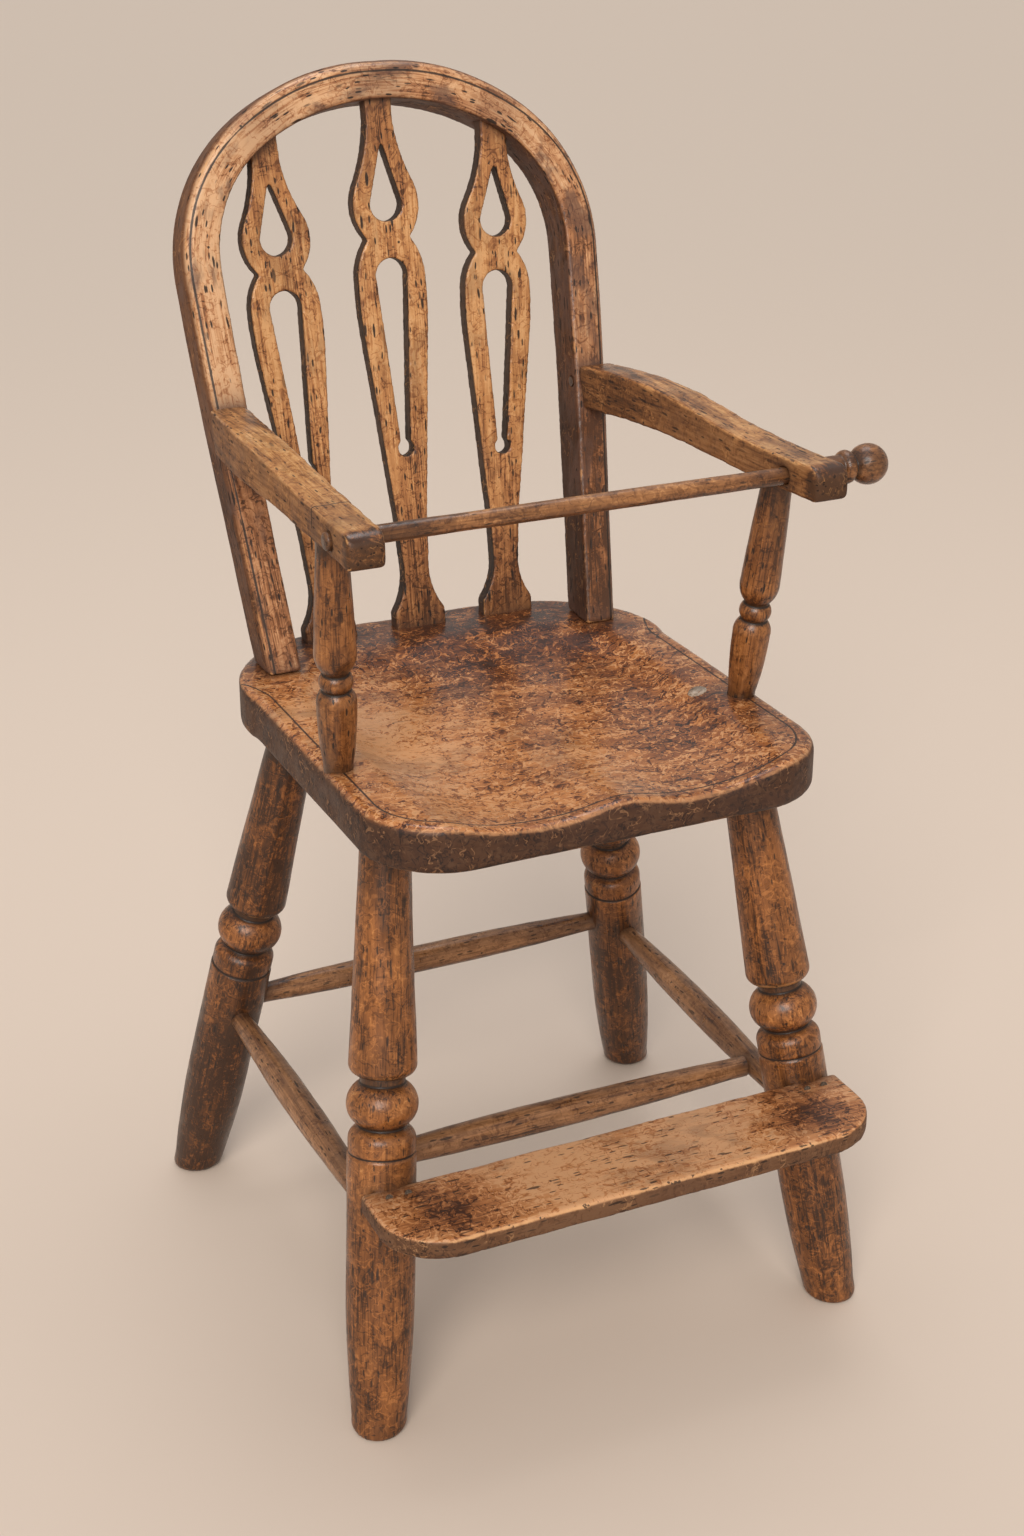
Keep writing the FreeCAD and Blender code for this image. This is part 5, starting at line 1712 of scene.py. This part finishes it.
@dataclass
class Arms:
    """The arms and their turned supports.

    Attributes:
        timber: Makes the materials.
        crack: Place of the crack across the left arm, in metres.
    """

    timber: Timber
    crack: float = -0.105

    def arms(self) -> None:
        """The two arms."""
        material = self.timber.material(ARM)
        for number, side in enumerate(Side):

            def grain(co: Array, side: Side = side) -> Array:
                """The grain, which runs from front to back."""
                return np.stack([co[:, 1], co[:, 0] - 0.17 * side.value, co[:, 2] - 0.69], axis=1)

            def face(co: Array, normals: Array) -> Array:
                """How squarely each corner faces up."""
                return step(0.3, 0.75, normals[:, 2])

            def line(co: Array, side: Side = side) -> Array:
                """The distance to the crack, which only the left arm has.

                Args:
                    co: Places in metres.
                    side: Which arm it is.

                Returns:
                    One number for each place.
                """
                if side is Side.RIGHT:
                    return np.ones(len(co))
                across = co[:, 1] - self.crack + clouds(co, 0.02, 3.0 + side.value, 2) * 0.003
                return np.where(co[:, 2] > 0.683, across, 1.0)

            def tone(co: Array, side: Side = side) -> Array:
                """The tone, dark at the nose and darker towards the bow.

                Args:
                    co: Places in metres.
                    side: Which arm it is.

                Returns:
                    One number for each place.
                """
                nose = step(-0.165, -0.176, co[:, 1])
                rear = step(0.05, 0.10, co[:, 1])
                return 0.35 - 1.7 * nose - 0.6 * rear - (0.2 if side is Side.RIGHT else 0.0)

            node = f"{side.word}_arm"
            near = ["bow", f"{side.word}_arm_support", "restraining_bar"]
            board = Sawn(
                node, 0.0013, 14, grain, face, line=line, tone=tone, near=near, chip=0.0007, reach=0.006
            )
            finished(board.make(18.0 + number), material, CHAIR, [node])

    def supports(self) -> None:
        """The two turned supports."""
        material = self.timber.material(SUPPORT)

        def tone(co: Array) -> Array:
            """The tone, darker under the arm."""
            return -0.35 - 0.6 * step(0.64, 0.675, co[:, 2])

        for number, side in enumerate(Side):
            node = f"{side.word}_arm_support"
            piece = Turned(
                node, flipped(SUPPORT_FOOT, side), flipped(SUPPORT_TOP, side), low=-0.005, high=0.004,
                hold=(0.004, 0.004), near=["seat", f"{side.word}_arm"], tone=tone, pitch=0.0008, around=36,
            )
            finished(piece.make(20.0 + number), material, CHAIR, [node])


@dataclass
class RestrainingBar:
    """The bar that slides out through the arms, with its knob.

    Attributes:
        timber: Makes the materials.
    """

    timber: Timber

    def make(self) -> None:
        """Build the rod and the knob."""
        material = self.timber.material(RAIL)
        low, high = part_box("restraining_bar")
        _, y, z = (low + high) / 2
        rod = Turned(
            "restraining_bar", Vector((low.x, y, z)), Vector((high.x, y, z)), pitch=0.0012, around=28,
            near=["left_arm", "right_arm"],
        )
        finished(rod.make(22.0), material, BAR, ["restraining_bar"])
        low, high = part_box("bar_knob")
        knob = Turned(
            "bar_knob", Vector((low.x, y, z)), Vector((high.x, y, z)), pitch=0.0006, around=40
        )
        finished(knob.make(23.0), material, BAR, ["bar_knob"])


@dataclass
class Fixings:
    """Nails and pegs, which keep the shapes that the frame gives them.

    Attributes:
        timber: Makes the materials.
        softness: Width of their softened edges in metres.
    """

    timber: Timber
    softness: float = 0.0003

    def iron(self) -> bpy.types.Material:
        """Old rubbed iron.

        Returns:
            The material.
        """
        made = bpy.data.materials.new("nail_iron_old")
        g = blank(made)
        rust = g.noise(g.node("ShaderNodeTexCoord").outputs["Object"], 900.0, 3.0, 0.6)
        stops = ((0.3, (0.05, 0.03, 0.02)), (0.55, (0.12, 0.085, 0.06)), (0.75, (0.22, 0.17, 0.13)))
        values = {"Base Color": g.ramp(rust, stops), "Metallic": 0.6}
        values["Roughness"] = g.rise(rust, 0.3, 0.7, 0.65, 0.35)
        g.show(g.node("ShaderNodeBsdfPrincipled", values))
        return made

    def make(self) -> None:
        """Give the small pieces their finishes."""
        finishes = {"footrest_nails": self.iron(), "arm_pegs": self.timber.material(PEG)}
        for node, material in finishes.items():
            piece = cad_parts[node]
            piece.data.materials.clear()
            piece.data.materials.append(material)
            soften = piece.modifiers.new("soften", "BEVEL")
            soften.width = self.softness
            soften.segments = 2
            log.info("%s keeps its shape", node)


@dataclass
class Studio:
    """Floor, light and camera.

    Attributes:
        near_floor: Colour of the floor in front of the chair.
        far_floor: Its colour far behind.
        backdrop: Colour of the surround just above the floor.
        horizon: Its colour higher up.
        zenith: Its colour overhead.
        floor_reach: Distance from the chair to the floor's edges, in metres.
        aim: The place that the lights face.
        eye: Place of the camera.
        heading: The camera's turn to the right, its dip and its roll, in degrees.
        sensor: Height of its sensor in millimetres.
        lens: Its focal length in millimetres.
    """

    near_floor: Colour = (0.74, 0.605, 0.495)
    far_floor: Colour = (0.74, 0.62, 0.515)
    backdrop: Colour = (0.60, 0.51, 0.425)
    horizon: Colour = (0.34, 0.33, 0.315)
    zenith: Colour = (0.50, 0.51, 0.54)
    floor_reach: float = 18.0
    aim: tuple[float, float, float] = (0.0, 0.0, 0.5)
    eye: tuple[float, float, float] = (-0.68588, -1.52923, 1.17136)
    heading: tuple[float, float, float] = (24.4005, 23.948, -0.280)
    sensor: float = 36.0
    lens: float = 54.11

    def floor(self) -> None:
        """A plain pale floor, paler far behind."""
        surface = bmesh.new()
        bmesh.ops.create_grid(surface, x_segments=8, y_segments=8, size=self.floor_reach)
        mesh = bpy.data.meshes.new("floor")
        surface.to_mesh(mesh)
        surface.free()
        material = bpy.data.materials.new("floor_plain")
        g = blank(material)
        place = g.node("ShaderNodeTexCoord").outputs["Object"]
        far = g.rise(g.node("ShaderNodeSeparateXYZ", {0: place}).outputs["Y"], -0.6, 4.5)
        cloud = g.math("MULTIPLY_ADD", g.noise(place, 2.5, 5.0, 0.6), 0.12, -0.06)
        colour = g.mix(g.math("ADD", far, cloud), self.near_floor, self.far_floor)
        g.show(g.node("ShaderNodeBsdfPrincipled", {"Base Color": colour, "Roughness": 0.8}))
        mesh.materials.append(material)
        floor = bpy.data.objects.new("floor", mesh)
        bpy.context.scene.collection.objects.link(floor)

    def lamp(
        self, name: str, place: Sequence[float], light: bpy.types.Light, power: float, colour: Colour
    ) -> None:
        """Hang a light so that it faces the chair.

        Args:
            name: Its name.
            place: Where it hangs, in metres.
            light: The light.
            power: Its strength.
            colour: Its colour.
        """
        light.name = name
        light.energy = power
        light.color = colour
        lamp = bpy.data.objects.new(name, light)
        lamp.location = place
        toward = Vector(self.aim) - Vector(place)
        lamp.rotation_euler = toward.to_track_quat("-Z", "Y").to_euler()
        bpy.context.scene.collection.objects.link(lamp)

    def soft_box(self, size: float) -> bpy.types.Light:
        """A square light.

        Args:
            size: Its width in metres.

        Returns:
            The light.
        """
        light = bpy.data.lights.new("box", "AREA")
        light.shape = "SQUARE"
        light.size = size
        return light

    def soft_sun(self, angle: float) -> bpy.types.Light:
        """A broad distant light that lights the whole floor alike.

        Args:
            angle: Its breadth in degrees.

        Returns:
            The light.
        """
        light = bpy.data.lights.new("sun", "SUN")
        light.angle = math.radians(angle)
        return light

    def light(self) -> None:
        """Soft light from above and in front, with a surround that is paler overhead."""
        world = bpy.data.worlds.new("surround")
        g = blank(world)
        direction = g.node("ShaderNodeTexCoord").outputs["Generated"]
        height = g.node("ShaderNodeSeparateXYZ", {0: direction}).outputs["Z"]
        colour = g.ramp(height, ((0.14, self.backdrop), (0.3, self.horizon), (0.9, self.zenith)))
        g.show(g.node("ShaderNodeBackground", {"Color": colour}), "ShaderNodeOutputWorld")
        bpy.context.scene.world = world
        self.lamp("key", (-1.6, -2.6, 2.6), self.soft_sun(35.0), 2.2, (1.0, 0.96, 0.91))
        self.lamp("top", (0.3, 0.5, 2.7), self.soft_box(1.1), 15.0, (0.97, 0.98, 1.0))

    def camera(self) -> None:
        """The camera of the photograph."""
        yaw, pitch, roll = (math.radians(angle) for angle in self.heading)
        ahead = math.cos(pitch)
        forward = Vector((math.sin(yaw) * ahead, math.cos(yaw) * ahead, -math.sin(pitch)))
        right = Vector((math.cos(yaw), -math.sin(yaw), 0))
        up = right.cross(forward)
        across = right * math.cos(roll) + up * math.sin(roll)
        upward = up * math.cos(roll) - right * math.sin(roll)
        data = bpy.data.cameras.new("camera")
        data.sensor_fit = "VERTICAL"
        data.sensor_width = data.sensor_height = self.sensor
        data.lens = self.lens
        data.clip_start, data.clip_end = 0.05, 60.0
        camera = bpy.data.objects.new("camera", data)
        turn = Matrix((across, upward, -forward)).transposed()
        camera.matrix_world = Matrix.Translation(self.eye) @ turn.to_4x4()
        bpy.context.scene.collection.objects.link(camera)
        bpy.context.scene.camera = camera

    def make(self) -> None:
        """Set everything up."""
        self.floor()
        self.light()
        self.camera()
        bpy.context.scene.view_settings.view_transform = "Standard"


def main() -> None:
    """Build the looks."""
    logging.basicConfig(level=logging.INFO, format="%(name)s %(message)s")
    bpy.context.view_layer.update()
    Studio().make()
    timber = Timber()
    under = Undercarriage(timber)
    under.legs()
    under.stretchers()
    under.footrest()
    seat = SeatBoard(timber)
    seat.make()
    seat.plug()
    back = Back(timber)
    back.bow()
    back.splats()
    arms = Arms(timber)
    arms.arms()
    arms.supports()
    RestrainingBar(timber).make()
    Fixings(timber).make()


if __name__ == "__main__":
    main()
